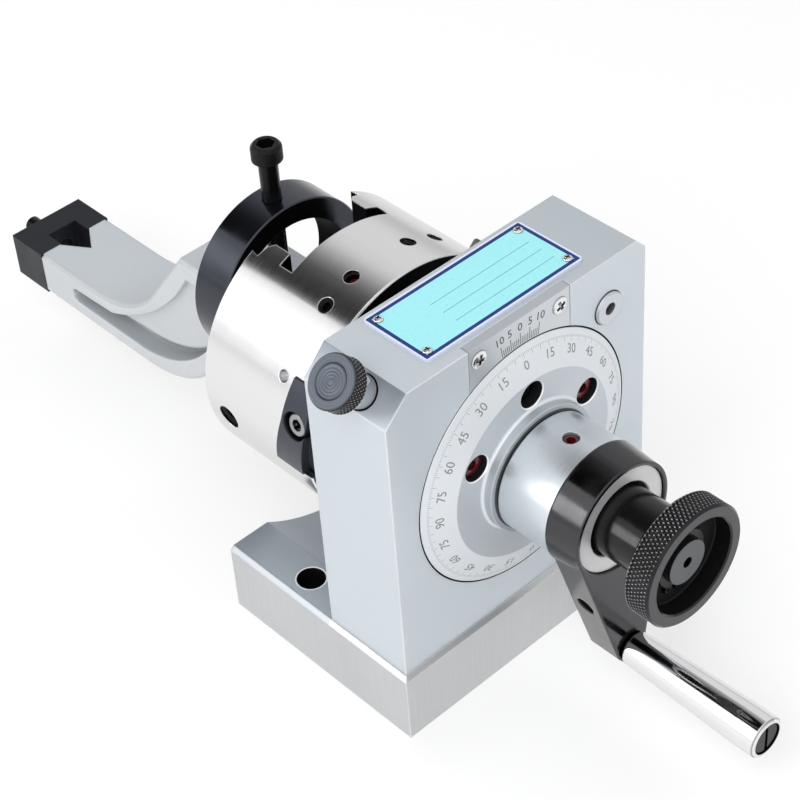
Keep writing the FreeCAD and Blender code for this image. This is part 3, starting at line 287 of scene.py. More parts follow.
# Diamond knurl pressed into the rim of a turned mesh about its own Y axis, its tips cut flat
def knurlTree():
    inputs = [
        ("Rim radius", "Float", 0.019), ("Near", "Float", 0.0), ("Far", "Float", 0.01),
        ("Ridges", "Float", 90.0), ("Pitch", "Float", 0.0013), ("Depth", "Float", 0.0004), ("Flat", "Float", 0.25),
    ]
    tree = Tree("Diamond knurl", inputs)
    spot = tree.add("ShaderNodeSeparateXYZ", {0: tree.add("GeometryNodeInputPosition").outputs[0]})
    x, y, z = spot.outputs
    radius = tree.math("SQRT", tree.math("ADD", tree.math("MULTIPLY", x, x), tree.math("MULTIPLY", z, z)))
    around = tree.math("MULTIPLY", tree.math("DIVIDE", tree.math("ARCTAN2", x, z), 2 * math.pi), "Ridges")
    along = tree.math("DIVIDE", y, "Pitch")
    slopes = []
    for operation in ("ADD", "SUBTRACT"):
        turns = tree.math("FRACT", tree.math(operation, around, along))
        slopes.append(tree.math("ABSOLUTE", tree.math("SUBTRACT", tree.math("MULTIPLY", turns, 2.0), 1.0)))
    valley = tree.math("MAXIMUM", *slopes)
    span = tree.math("SUBTRACT", 1.0, "Flat")
    valley = tree.math("DIVIDE", tree.math("SUBTRACT", valley, "Flat"), span, clamp=True)
    cut = tree.math("DIVIDE", tree.math("MULTIPLY", tree.math("MULTIPLY", valley, "Depth"), -1.0), radius)
    shift = tree.vector(tree.math("MULTIPLY", x, cut), 0.0, tree.math("MULTIPLY", z, cut))
    onRim = tree.math("GREATER_THAN", radius, tree.math("SUBTRACT", "Rim radius", 0.00002))
    inside = tree.math("MULTIPLY", tree.math("GREATER_THAN", y, "Near"), tree.math("LESS_THAN", y, "Far"))
    chosen = tree.math("MULTIPLY", onRim, inside)
    pressed = tree.add("GeometryNodeSetPosition", {0: "Geometry", "Selection": chosen, "Offset": shift})
    tree.finish(pressed)
    return tree


# One screw on each vertex of the carrying mesh, each tightened to another angle
def screwTree():
    tree = Tree("Screws at points", [("Screw", "Object", None), ("Turn", "Vector", (0, 0, 0))])
    info = tree.add("GeometryNodeObjectInfo", {"Object": "Screw"})
    copies = tree.add("GeometryNodeInstanceOnPoints", {
        "Points": "Geometry", "Instance": info.outputs["Geometry"], "Rotation": "Turn",
    })
    chance = tree.add("FunctionNodeRandomValue", {"Min": 0.0, "Max": 3.0, "Seed": 11}, data_type="FLOAT")
    value = [socket for socket in chance.outputs if socket.enabled][0]
    spun = tree.add("GeometryNodeRotateInstances", {
        "Instances": copies, "Rotation": tree.vector(0.0, value, 0.0), "Local Space": True,
    })
    tree.finish(spun)
    return tree


marks = marksTree()
knurl = knurlTree()
screws = screwTree()


# Materials

# A material and its shader nodes, in Object coordinates
class Finish(Graph):

    def __init__(self, name, colour, metallic, roughness, **sockets):
        self.material = bpy.data.materials.new(name)
        self.material.use_nodes = True
        super().__init__(self.material.node_tree)
        self.shader = self.nodes["Principled BSDF"]
        sockets.update({"Base_Color": (*colour, 1), "Metallic": metallic, "Roughness": roughness})
        for label, value in sockets.items():
            self.shader.inputs[label.replace("_", " ")].default_value = value
        self.place = self.add("ShaderNodeTexCoord").outputs["Object"]
        self.parts = self.add("ShaderNodeSeparateXYZ", {0: self.place})
        self.normal = None
        self.material.diffuse_color = (*colour, 1)

    # An Object coordinate in millimetres from a station
    def along(self, axis, station=0.0):
        scaled = self.math("MULTIPLY", self.parts.outputs["XYZ".index(axis)], 1000.0)
        return self.math("SUBTRACT", scaled, station)

    # The distance that two or more of those make together
    def reach(self, *spans):
        total = self.math("MULTIPLY", spans[0], spans[0])
        for span in spans[1:]:
            total = self.math("ADD", total, self.math("MULTIPLY", span, span))
        return self.math("SQRT", total)

    # The distance from the spindle's axis
    def fromSpindle(self):
        return self.reach(self.along("X"), self.along("Z", spindleZ))

    # The distance from a spoke of the spindle, at a turn and a station, and how far out along it
    def fromSpoke(self, turn, station):
        side, up = math.sin(math.radians(turn)), math.cos(math.radians(turn))
        x, z = self.along("X"), self.along("Z", spindleZ)
        across = self.math("SUBTRACT", self.math("MULTIPLY", x, up), self.math("MULTIPLY", z, side))
        outwards = self.math("ADD", self.math("MULTIPLY", x, side), self.math("MULTIPLY", z, up))
        return self.reach(across, self.along("Y", station)), outwards

    # A mask that goes from 0 to 1 between two values; falling where the first is larger
    def mask(self, value, start, end):
        return self.ramp(value, 0.0, 1.0, start, end)

    def dot(self, first, second):
        return self.add("ShaderNodeVectorMath", {0: first, 1: second}, operation="DOT_PRODUCT").outputs["Value"]

    def flatNormal(self):
        return self.add("ShaderNodeNewGeometry").outputs["Normal"]

    # How far the surface faces along a direction, from -1 to 1
    def facing(self, x, y, z):
        return self.dot(self.flatNormal(), (x, y, z))

    def both(self, *masks):
        result = masks[0]
        for item in masks[1:]:
            result = self.math("MULTIPLY", result, item)
        return result

    # Several masks at once, each given by its value, start and end
    def where(self, *spans):
        return self.both(*(self.mask(*span) for span in spans))

    def either(self, *masks):
        result = masks[0]
        for item in masks[1:]:
            result = self.math("MAXIMUM", result, item)
        return result

    def noise(self, scale, stretch=(1, 1, 1), detail=3.0, rough=0.5, centre=(0, 0, 0)):
        mapping = self.add("ShaderNodeMapping", {
            "Vector": self.place, "Location": [-c * s for c, s in zip(centre, stretch)], "Scale": stretch,
        })
        return self.add("ShaderNodeTexNoise", {
            "Vector": mapping, "Scale": scale, "Detail": detail, "Roughness": rough,
        }).outputs["Fac"]

    # Fine rings round an axis: noise read along the distance from it
    def rings(self, scale, *spans):
        return self.add("ShaderNodeTexNoise", {
            "W": self.reach(*spans), "Scale": scale, "Detail": 3.0, "Roughness": 0.7,
        }, noise_dimensions="1D").outputs["Fac"]

    def ramp(self, fac, low, high, start=0.3, end=0.7):
        return self.add("ShaderNodeMapRange", {
            "Value": fac, "From Min": start, "From Max": end, "To Min": low, "To Max": high,
        }).outputs[0]

    # Mix another value into one of the shader's sockets by a mask
    def blend(self, label, fac, value, **settings):
        socket = self.shader.inputs[label]
        before = socket.links[0].from_socket if socket.is_linked else socket.default_value
        mix = self.add("ShaderNodeMix", {"Factor": fac, "A": before, "B": value}, **settings)
        self.links.new(mix.outputs["Result"], socket)

    def tint(self, fac, colour):
        self.blend("Base Color", fac, (*colour, 1), data_type="RGBA")

    def dull(self, fac, roughness):
        self.blend("Roughness", fac, roughness)

    # Painted shade inside a bore, slot or gap: dark, neither bright nor shiny
    def darken(self, fac, colour=(0.006, 0.006, 0.007)):
        self.tint(fac, colour)
        self.dull(fac, 0.7)

    # Roughness between two values by a mask
    def vary(self, fac, low, high, start=0.3, end=0.7):
        self.links.new(self.ramp(fac, low, high, start, end), self.shader.inputs["Roughness"])

    def bump(self, height, strength, distance=0.0001):
        node = self.add("ShaderNodeBump", {"Strength": strength, "Distance": distance, "Height": height})
        if self.normal is not None:
            self.links.new(self.normal, node.inputs["Normal"])
        self.normal = node.outputs[0]
        self.links.new(self.normal, self.shader.inputs["Normal"])

    # Rounded light on the edges, as a broken corner gives; a colour paints a highlight on the corner too
    def softEdges(self, radius, colour=None):
        self.normal = self.add("ShaderNodeBevel", {"Radius": radius}, samples=6).outputs[0]
        self.links.new(self.normal, self.shader.inputs["Normal"])
        if colour is not None:
            self.tint(self.mask(self.dot(self.normal, self.flatNormal()), 0.985, 0.90), colour)

    # Painted shade: another colour where the surface turns away from the eye
    def rimmed(self, colour, start, end):
        self.tint(self.mask(self.add("ShaderNodeLayerWeight").outputs["Facing"], start, end), colour)


# Satin plating on the housing: pale, even and slightly speckled, with a painted highlight on its edges, painted
# shade on its chamfer (deeper higher up) and on its top (deeper to the right), and painted shade in the gaps round
# the dial, in its holes and at its rear
def satinPlate():
    look = {
        "gap": 0.36, "portHole": 5.6, "plungerHole": 5.15, "plungerY": 13.0, "depth": 32.0,
        "bevel": (0.20, 0.23, 0.27), "top": (0.42, 0.46, 0.49),
    }
    coat = Finish("Satin plate", (0.60, 0.65, 0.69), 0.45, 0.42)
    # Painted highlight: the edges are made paler
    coat.softEdges(0.0007, (0.94, 0.96, 0.98))
    grain = coat.noise(900.0, detail=4.0, rough=0.65)
    cloud = coat.noise(22.0, detail=2.0)
    coat.vary(grain, 0.36, 0.48)
    coat.tint(coat.ramp(cloud, 0.0, 0.3), (0.54, 0.59, 0.64))
    coat.bump(grain, 0.16, 0.00004)
    x, y, z = coat.along("X"), coat.along("Y"), coat.along("Z", spindleZ)
    # Painted shade on the upper left chamfer, deeper higher up, and on the top, deeper to the right
    bevel = coat.both(coat.mask(coat.facing(-0.7071, 0, 0.7071), 0.97, 0.99), coat.ramp(z, 0.15, 0.85, 41, 50))
    top = coat.both(coat.mask(coat.facing(0, 0, 1), 0.97, 0.99), coat.ramp(x, 0.25, 0.8, -50, 50))
    coat.tint(bevel, look["bevel"])
    coat.tint(top, look["top"])
    recess = coat.where((y, 0.02, 0.3), (y, 31, 30), (coat.reach(x, z), dialRadius + 0.62, dialRadius + 0.55))
    half = (vernierHigh.x - vernierLow.x) / 2 + look["gap"]
    roof = plateLow.z - spindleZ
    slot = coat.where((y, 0.02, 0.3), (y, vernierHigh.y + 0.2, vernierHigh.y + 0.1),
                      (coat.math("ABSOLUTE", x), half + 0.06, half), (z, 30, 31), (z, roof - 0.05, roof - 0.15))
    middle = (portLow + portHigh) / 2
    port = coat.reach(coat.along("X", middle.x), coat.along("Z", middle.z))
    port = coat.where((y, 8, 7), (port, look["portHole"], look["portHole"] - 0.2))
    aside = coat.math("MULTIPLY", coat.math("ADD", x, z), math.sqrt(0.5))
    stem = coat.reach(aside, coat.along("Y", look["plungerY"]))
    stem = coat.where((stem, look["plungerHole"] + 0.15, look["plungerHole"]), (x, 0, -5), (z, 0, 5))
    rear = coat.mask(y, look["depth"] + 0.1, look["depth"] + 0.3)
    # Painted shade in the gaps round the dial and the vernier plate, in the port and plunger holes and at the rear
    coat.darken(coat.either(recess, slot, port, stem, rear))
    return coat.material


# Ground steel of the base: painted shade on top behind the housing, upright grinding lines on the sides, a painted
# highlight on its edges and painted shade in its holes
def groundSteel():
    look = {
        "side": (0.58, 0.59, 0.60), "top": (0.34, 0.38, 0.42), "from": 33.0,
        "holeY": 49.0, "spacing": 86.2, "rim": 4.9, "hole": 4.45,
    }
    coat = Finish("Ground steel", look["side"], 0.75, 0.38)
    # Painted highlight: the edges are made paler
    coat.softEdges(0.0007, (0.86, 0.88, 0.90))
    height = coat.along("Z", baseHigh.z)
    shadedTop = coat.where((coat.facing(0, 0, 1), 0.6, 0.8), (coat.along("Y"), look["from"] - 1, look["from"] - 0.8))
    lines = coat.noise(55.0, stretch=(1.0, 60.0, 1.0), detail=4.0, rough=0.6)
    streaks = coat.noise(70.0, stretch=(30.0, 30.0, 0.6), detail=4.0, rough=0.6)
    cloud = coat.noise(30.0, detail=3.0)
    coat.tint(coat.ramp(streaks, 0.0, 0.3), (0.50, 0.51, 0.53))
    coat.tint(coat.ramp(cloud, 0.0, 0.4, 0.4, 0.7), (0.48, 0.49, 0.50))
    # Painted shade on the top behind the housing
    coat.tint(shadedTop, look["top"])
    coat.vary(streaks, 0.34, 0.46)
    coat.dull(shadedTop, 0.36)
    coat.bump(streaks, 0.16, 0.00005)
    coat.bump(lines, 0.14, 0.00004)
    side = coat.math("SUBTRACT", coat.math("ABSOLUTE", coat.along("X")), look["spacing"] / 2)
    away = coat.reach(side, coat.along("Y", look["holeY"]))
    coat.tint(coat.both(coat.mask(away, look["rim"] + 0.1, look["rim"]), shadedTop), (0.80, 0.82, 0.84))
    # Painted shade inside the holes
    coat.darken(coat.where((away, look["hole"] + 0.1, look["hole"]), (height, 0.5, 0.0)))
    return coat.material


# Lathe-turned steel about the spindle: fine rings and a few deeper tool marks
def turnedSteel(name, colour, roughness, depth=0.3, finish=None, metallic=0.95):
    coat = Finish(name, colour, metallic, roughness)
    coat.softEdges(0.0004)
    rings = coat.noise(90.0, stretch=(1.0, 45.0, 1.0), detail=5.0, rough=0.7, centre=(0, 0, spindleZ * mm))
    faceRings = coat.rings(3.0, coat.along("X"), coat.along("Z", spindleZ))
    coat.vary(rings, roughness - 0.05, roughness + 0.06)
    coat.bump(rings, depth, 0.00004)
    coat.bump(faceRings, depth * 0.6, 0.00004)
    if finish is not None:
        finish(coat)
    return coat.material


# Painted shade on the drum: its slot and bores lose their light a little way below the rim, its front face is dark
# and it darkens where it turns away from the eye; one plain hole stays bright
def drumBores(coat):
    look = {"slotHalf": 20.05, "slotFrom": 72.9, "plainTurn": -62.0, "plainY": 57.6, "plainRadius": 1.9}
    coat.rimmed((0.52, 0.52, 0.53), 0.55, 0.98)
    away = coat.fromSpindle()
    between = coat.where((coat.along("Y", drumLow.y), 0.05, 0.4), (coat.along("Y", drumHigh.y), -0.05, -0.4))
    beside = coat.fromSpoke(look["plainTurn"], look["plainY"])[0]
    beside = coat.mask(beside, look["plainRadius"] + 0.2, look["plainRadius"] + 0.4)
    bores = coat.both(coat.mask(away, drumRadius - 0.5, drumRadius - 2.2), between, beside)
    slot = coat.where((coat.math("ABSOLUTE", coat.along("X")), look["slotHalf"] + 0.1, look["slotHalf"]),
                      (coat.along("Y"), look["slotFrom"], look["slotFrom"] + 0.1),
                      (away, drumRadius - 0.25, drumRadius - 0.6))
    # Painted shade on the front face inside the rim
    front = coat.where((coat.along("Y", drumLow.y), 0.10, 0.02), (away, drumRadius - 0.5, drumRadius - 0.7))
    coat.darken(coat.either(bores, slot, front))


# The dial's three bores in painted shade with a painted highlight on their chamfers, painted shade on the raised
# flat face and in the cove, and dark lines of painted shade at the collar and the rim
def dialBores(coat):
    look = {"circle": 25.4, "radius": 4.2, "chamfer": 0.35, "flat": 30.4}
    bores, chamferHighlights = [], []
    for turn in (-60, 0, 60):
        x = look["circle"] * math.sin(math.radians(turn))
        z = look["circle"] * math.cos(math.radians(turn))
        away = coat.reach(coat.along("X", x), coat.along("Z", spindleZ + z))
        bores.append(coat.mask(away, look["radius"] + 0.05, look["radius"] + 0.01))
        chamferHighlights.append(coat.mask(away, look["radius"] + look["chamfer"] + 0.08, look["radius"] + look["chamfer"]))
    y = coat.along("Y")
    away = coat.fromSpindle()
    # Painted shade on the raised flat face
    flat = coat.where((coat.facing(0, -1, 0), 0.995, 0.999), (away, look["flat"], look["flat"] - 0.1))
    coat.tint(flat, (0.57, 0.61, 0.65))
    # Painted shade in the cove by the collar
    coat.tint(coat.where((y, -4.5, -4.9), (away, 21.2, 21.0)), (0.46, 0.50, 0.53))
    # Painted highlight on the bores' chamfers
    coat.tint(coat.either(*chamferHighlights), (0.92, 0.94, 0.96))
    # Painted shade in the bores and in the gaps at the collar and the rim
    coat.darken(coat.either(*bores), (0.012, 0.013, 0.016))
    collar = coat.where((y, -7.22, -7.32), (away, 19.2, 18.9))
    rim = coat.where((y, 0.05, 0.2), (away, 40.0, 40.3))
    coat.darken(coat.either(collar, rim))


# The shaft's end has a painted highlight at its centre inside a ring of painted shade, and its flange at the rear
# is dark
def shaftCentre(coat):
    look = {"end": -50, "ring": 1.65, "centre": 1.1, "flange": 14.0, "flangeFrom": 20.0}
    away, y = coat.fromSpindle(), coat.along("Y")
    end = coat.mask(y, look["end"], look["end"] - 2)
    # A ring of painted shade round the centre, and a painted highlight in it
    coat.tint(coat.both(coat.mask(away, look["ring"] + 0.1, look["ring"]), end), (0.02, 0.02, 0.02))
    coat.tint(coat.both(coat.mask(away, look["centre"] + 0.2, look["centre"]), end), (0.95, 0.95, 0.96))
    flange = coat.where((away, look["flange"] - 1.0, look["flange"]),
                        (y, look["flangeFrom"], look["flangeFrom"] + 10.0))
    coat.tint(flange, (0.02, 0.02, 0.022))


# Blackened steel with a trace of oil: a dull sheen with a faint grain
def blackOxide(name, colour, roughness, metallic=0.45, finish=None):
    coat = Finish(name, colour, metallic, roughness, Specular_IOR_Level=0.25)
    coat.softEdges(0.0004)
    grain = coat.noise(700.0, detail=3.0, rough=0.6)
    smear = coat.noise(60.0, detail=3.0)
    coat.vary(smear, roughness - 0.06, roughness + 0.1)
    coat.bump(grain, 0.12, 0.00004)
    if finish is not None:
        finish(coat)
    return coat.material


# Painted shade: the clamp ring's bore is deep black
def ringBore(coat):
    look = {"axis": 87.8, "inner": 21.5}
    away = coat.reach(coat.along("X"), coat.along("Z", look["axis"]))
    coat.darken(coat.mask(away, look["inner"] + 0.3, look["inner"] + 0.05), (0.003, 0.003, 0.004))


# Painted shade: the segment's screw sits in a black counterbore, and its socket is black too
segmentSpoke = (-78.5, 49.6)


def segmentSink(coat):
    look = {"radius": 4.65, "face": 42.6}
    away, outwards = coat.fromSpoke(*segmentSpoke)
    coat.darken(coat.where((away, look["radius"] + 0.2, look["radius"]),
                           (outwards, look["face"], look["face"] - 0.5)))


def segmentSocket(coat):
    look = {"radius": 1.75}
    away = coat.fromSpoke(*segmentSpoke)[0]
    coat.darken(coat.mask(away, look["radius"] + 0.12, look["radius"]))


# The thumb nut and plunger knob: glossy knurl with a painted highlight on its tips, turned face with a little grey
# showing, and painted shade in the nut's hollow
def knurledBlack(name, isFace, faceColour):
    coat = Finish(name, (0.010, 0.010, 0.011), 0.5, 0.16, Specular_IOR_Level=0.6)
    grain = coat.noise(700.0, detail=3.0, rough=0.6)
    coat.vary(grain, 0.12, 0.22)
    face, rings, tipHighlights, hollow = isFace(coat)
    # Painted highlight on the knurl's tips
    coat.tint(tipHighlights, (0.30, 0.30, 0.31))
    coat.tint(face, faceColour)
    coat.tint(coat.both(face, coat.ramp(rings, 0.0, 0.6, 0.35, 0.7)), [c * 1.5 for c in faceColour])
    coat.dull(face, 0.42)
    # Painted shade in the nut's hollow
    if hollow is not None:
        coat.darken(hollow, (0.004, 0.004, 0.005))
    coat.bump(rings, 0.25, 0.00004)
    return coat.material


def nutFace(coat):
    away = coat.fromSpindle()
    y = coat.along("Y", nutLow.y)
    face = coat.where((y, 0.12, 0.04), (away, 14.5, 14.9))
    rings = coat.rings(3.5, coat.along("X"), coat.along("Z", spindleZ))
    tipHighlights = coat.where((away, nutRadius - 0.13, nutRadius - 0.02), (y, 0.7, 0.8), (y, 8.0, 7.9))
    hollow = coat.where((away, 14.95, 14.8), (y, 0.5, 0.9), (y, 6.3, 6.1))
    return face, rings, tipHighlights, hollow


# The plunger's knob leans 45 degrees, so its own axis is read from X and Z together
def plungerFace(coat):
    look = {"radius": 7.8}
    low, high = edges("plunger_knob")
    middle = (low + high) / 2
    across, up = coat.along("X"), coat.along("Z", spindleZ)
    outwards = coat.math("MULTIPLY", coat.math("SUBTRACT", up, across), math.sqrt(0.5))
    aside = coat.math("MULTIPLY", coat.math("ADD", up, across), math.sqrt(0.5))
    front = (middle - Vector((0, middle.y, spindleZ))).dot(Vector((-1, 0, 1)).normalized()) + 3.0
    rings = coat.rings(2.2, aside, coat.along("Y", middle.y))
    away = coat.reach(aside, coat.along("Y", middle.y))
    tipHighlights = coat.where((away, look["radius"] - 0.12, look["radius"] - 0.02), (outwards, front - 0.7, front - 0.8))
    return coat.mask(outwards, front - 0.5, front - 0.2), rings, tipHighlights, None


# Glossy black enamel on the crank, with the skin of an orange
def blackEnamel():
    coat = Finish("Black enamel", (0.072, 0.072, 0.076), 1.0, 0.12)
    coat.softEdges(0.0010)
    skin = coat.noise(420.0, detail=2.0)
    waves = coat.noise(120.0, detail=2.0)
    coat.vary(waves, 0.09, 0.20)
    coat.bump(skin, 0.20, 0.0001)
    return coat.material


# Bright chrome with the faintest polish lines, with a little painted shade where it turns away
def chromePlate(name, colour, roughness, finish=None):
    coat = Finish(name, colour, 1.0, roughness)
    coat.softEdges(0.0004)
    coat.rimmed([c * 0.62 for c in colour], 0.55, 0.98)
    polish = coat.noise(80.0, stretch=(1.0, 25.0, 1.0), detail=3.0)
    coat.vary(polish, roughness - 0.02, roughness + 0.04)
    coat.bump(polish, 0.03, 0.00003)
    if finish is not None:
        finish(coat)
    return coat.material


# Painted shade inside a cross recess and in the line under the head's rim
def frontCross(coat):
    coat.darken(coat.mask(coat.facing(0, -1, 0), 0.45, 0.25))


def topCross(coat):
    coat.darken(coat.mask(coat.facing(0, 0, 1), 0.45, 0.25))


# The grip's end: a grey line at its outer corner and painted shade in the seat round the screw
def gripEnd(coat):
    look = {"end": 6.6, "screw": 4.8}
    low, high = edges("handle_grip")
    middle = (low + high) / 2
    away = coat.reach(coat.along("X", middle.x), coat.along("Z", middle.z))
    atEnd = coat.mask(coat.along("Y", low.y), 0.8, 0.5)
    coat.tint(coat.both(atEnd, coat.mask(away, look["end"] - 0.55, look["end"] - 0.3)), (0.28, 0.28, 0.29))
    coat.darken(coat.where((coat.along("Y", low.y), 5, 4), (away, look["screw"] + 0.5, look["screw"] + 0.3)))


# The dresser arm: a smooth casting in pale grey paint with a fine pebble, with painted shade in its groove and on
# its upward faces and a painted highlight on its edges
def castGrey():
    look = {"grooveFrom": -12.15, "grooveTo": -10.9, "grooveEnd": -7.0}
    coat = Finish("Cast grey", (0.60, 0.62, 0.64), 0.2, 0.42)
    # Painted highlight: the edges are made paler
    coat.softEdges(0.0014, (0.74, 0.76, 0.78))
    pebble = coat.noise(500.0, detail=4.0, rough=0.6)
    cloud = coat.noise(30.0, detail=2.0)
    coat.vary(pebble, 0.36, 0.5)
    coat.tint(coat.ramp(cloud, 0.0, 0.3), (0.53, 0.55, 0.57))
    x = coat.along("X")
    groove = coat.where((x, look["grooveFrom"], look["grooveTo"]), (x, look["grooveEnd"] + 0.3, look["grooveEnd"]),
                        (coat.along("Y"), 129, 131))
    coat.tint(groove, (0.36, 0.375, 0.39))
    # Painted shade on the faces that look upwards
    coat.tint(coat.mask(coat.facing(0, 0, 1), 0.3, 0.6), (0.47, 0.49, 0.50))
    coat.tint(coat.mask(coat.facing(0, 0, 1), 0.75, 0.95), (0.46, 0.49, 0.52))
    coat.bump(pebble, 0.2, 0.00006)
    return coat.material


# Satin grey of the oil port's ring, with a painted highlight on its edges
def portRing():
    coat = Finish("Port ring", (0.60, 0.63, 0.67), 0.9, 0.32)
    coat.softEdges(0.0005, (0.75, 0.76, 0.78))
    middle = (portLow + portHigh) / 2
    rings = coat.rings(4.0, coat.along("X", middle.x), coat.along("Z", middle.z))
    coat.vary(rings, 0.26, 0.4)
    coat.bump(rings, 0.2, 0.00003)
    return coat.material


# The bare nameplate: pale cyan inside a dark blue frame, with a few thin ruled lines
def cyanPlate():
    look = {"frame": 1.2, "inset": 0.7, "lines": (6.6, 11.5, 16.4), "lineWidth": 0.12, "lineFrom": 17.0}
    coat = Finish("Cyan plate", (0.31, 0.72, 0.76), 0.1, 0.3)
    middle = (plateLow + plateHigh) / 2
    half = (plateHigh - plateLow) / 2
    gaps = [coat.math("SUBTRACT", half[index], coat.math("ABSOLUTE", coat.along("XYZ"[index], middle[index])))
            for index in (0, 1)]
    edge = coat.math("MINIMUM", *gaps)
    inset, inner = look["inset"], look["inset"] + look["frame"]
    inked = []
    for row in look["lines"]:
        offset = coat.math("ABSOLUTE", coat.along("Y", plateLow.y + row))
        inked.append(coat.mask(offset, look["lineWidth"], look["lineWidth"] * 0.6))
    field = coat.both(coat.mask(coat.along("X", plateLow.x), look["lineFrom"], look["lineFrom"] + 0.1),
                      coat.mask(coat.along("X", plateHigh.x), -4.9, -5.0))
    coat.tint(coat.both(field, coat.either(*inked)), (0.05, 0.22, 0.32))
    border = coat.where((edge, inset - 0.03, inset + 0.03), (edge, inner + 0.03, inner - 0.03))
    coat.tint(border, (0.001, 0.018, 0.15))
    coat.tint(coat.mask(edge, inset, inset - 0.06), (0.62, 0.66, 0.80))
    grain = coat.noise(350.0, stretch=(1.0, 8.0, 1.0), detail=3.0)
    coat.vary(grain, 0.26, 0.38)
    coat.bump(grain, 0.06, 0.00003)
    return coat.material


# Dark red sealant on a set screw, wet-looking and uneven; a finish may paint shade on its rim
def threadSealant(name="Red sealant", finish=None):
    coat = Finish(name, (0.085, 0.004, 0.006), 0.0, 0.18, Coat_Weight=0.5, Coat_Roughness=0.05)
    lumps = coat.noise(900.0, detail=3.0)
    coat.vary(lumps, 0.12, 0.4)
    if finish is not None:
        finish(coat)
    coat.bump(lumps, 0.5, 0.0002)
    return coat.material


# Painted shade round the rim of the hub's set screw
def hubSealRim(coat):
    low, high = edges("hub_set_screw")
    middle = (low + high) / 2
    away = coat.reach(coat.along("X", middle.x), coat.along("Y", middle.y))
    coat.darken(coat.mask(away, (high.x - low.x) / 2 - 0.75, (high.x - low.x) / 2 - 0.45))


# The filled graduations and figures
def markInk(name, colour, worn):
    coat = Finish(name, colour, 0.0, 0.6)
    wear = coat.noise(1500.0, detail=2.0)
    coat.tint(coat.ramp(wear, 0.0, 0.5), worn)
    return coat.material


def bronzeMetal():
    coat = Finish("Bronze", (0.45, 0.30, 0.12), 0.9, 0.35)
    rings = coat.noise(90.0, stretch=(1.0, 30.0, 1.0), detail=4.0)
    coat.vary(rings, 0.3, 0.42)
    coat.bump(rings, 0.2, 0.00004)
    return coat.material


satin = satinPlate()
ground = groundSteel()
drumSteel = turnedSteel("Drum steel", (0.80, 0.80, 0.81), 0.16, 0.12, drumBores, 1.0)
dialSteel = turnedSteel("Dial steel", (0.72, 0.75, 0.78), 0.50, 0.05, dialBores, 0.55)
plainSteel = turnedSteel("Turned steel", (0.70, 0.74, 0.77), 0.22, 0.02)
hubSteel = turnedSteel("Hub steel", (0.70, 0.74, 0.77), 0.31, 0.012, None, 0.82)
ringSteel = turnedSteel("Thrust ring steel", (0.72, 0.72, 0.73), 0.42, 0.05, None, 0.55)
vernierSteel = turnedSteel("Vernier steel", (0.62, 0.65, 0.68), 0.36, 0.06)
spindleSteel = turnedSteel("Spindle steel", (0.12, 0.125, 0.13), 0.34, 0.2, shaftCentre)
darkSteel = turnedSteel("Hardened steel", (0.13, 0.13, 0.14), 0.30, 0.1)
oxide = blackOxide("Black oxide", (0.064, 0.068, 0.082), 0.14, 0.97, ringBore)
jawBlack = blackOxide("Jaw black", (0.018, 0.020, 0.026), 0.40, 0.5)
segmentBlack = blackOxide("Segment grey", (0.055, 0.060, 0.075), 0.34, 0.6, segmentSink)
fastener = blackOxide("Fastener black", (0.007, 0.007, 0.008), 0.22, 0.5)
fastenerGrey = blackOxide("Fastener grey", (0.36, 0.37, 0.39), 0.30, 0.9, segmentSocket)
nutBlack = knurledBlack("Nut black", nutFace, (0.055, 0.056, 0.060))
plungerBlack = knurledBlack("Plunger black", plungerFace, (0.085, 0.098, 0.12))
enamel = blackEnamel()
chrome = chromePlate("Chrome", (0.84, 0.84, 0.85), 0.06, gripEnd)
pinSteel = chromePlate("Pin steel", (0.62, 0.62, 0.63), 0.10)
zincFront = chromePlate("Zinc screws in front", (0.80, 0.81, 0.82), 0.14, frontCross)
zincTop = chromePlate("Zinc screws on top", (0.80, 0.81, 0.82), 0.14, topCross)
portGrey = portRing()
castPaint = castGrey()
cyan = cyanPlate()
sealant = threadSealant()
hubSealant = threadSealant("Hub screw sealant", hubSealRim)
dialInk = markInk("Dial ink", (0.17, 0.175, 0.185), (0.32, 0.33, 0.35))
vernierInk = markInk("Vernier ink", (0.045, 0.047, 0.052), (0.12, 0.12, 0.13))
bronze = bronzeMetal()

finishes = {
    "housing_paint": satin, "base_steel": ground, "ground_steel": plainSteel, "turned_steel": plainSteel,
    "drum_steel": drumSteel, "spindle_steel": spindleSteel, "black_oxide": oxide, "black_enamel": enamel,
    "fastener_black": fastener, "chrome": chrome, "bright_screw": zincFront, "plate_cyan": cyan,
    "cast_grey": castPaint, "bronze": bronze, "hardened_steel": darkSteel, "seal_red": sealant,
}
special = {
    "dial": dialSteel, "hub": hubSteel, "dresser_jaw": jawBlack, "drum_segment": segmentBlack,
    "segment_screw": fastenerGrey, "oil_port": portGrey, "hub_set_screw": hubSealant,
    "vernier_plate": vernierSteel, "plunger_pin": pinSteel, "stop_pin": darkSteel,
}
slots = {entry["node"]: entry["material_slot"] for entry in frame["record"]["subparts"]}
for name, item in nodes.items():
    item.data.materials.clear()
    item.data.materials.append(special.get(name, finishes[slots[name]]))
print("finished the CAD nodes")


# Graduations and figures

# A figure as a thin plate, upright in the XZ plane and facing -Y, centred on the origin
def figure(text, size, flatten=0.01):
    curve = bpy.data.curves.new("Figure" + text, "FONT")
    curve.body = text
    curve.size = size * mm
    curve.align_x = "CENTER"
    curve.align_y = "CENTER"
    curve.extrude = flatten * mm
    curve.resolution_u = 3
    item = linked("Figure" + text, curve)
    mesh = plainMesh(item)
    bpy.data.objects.remove(item)
    plate = linked("Figure" + text, mesh)
    plate.data.transform(Matrix.Rotation(math.pi / 2, 4, "X"))
    return plate


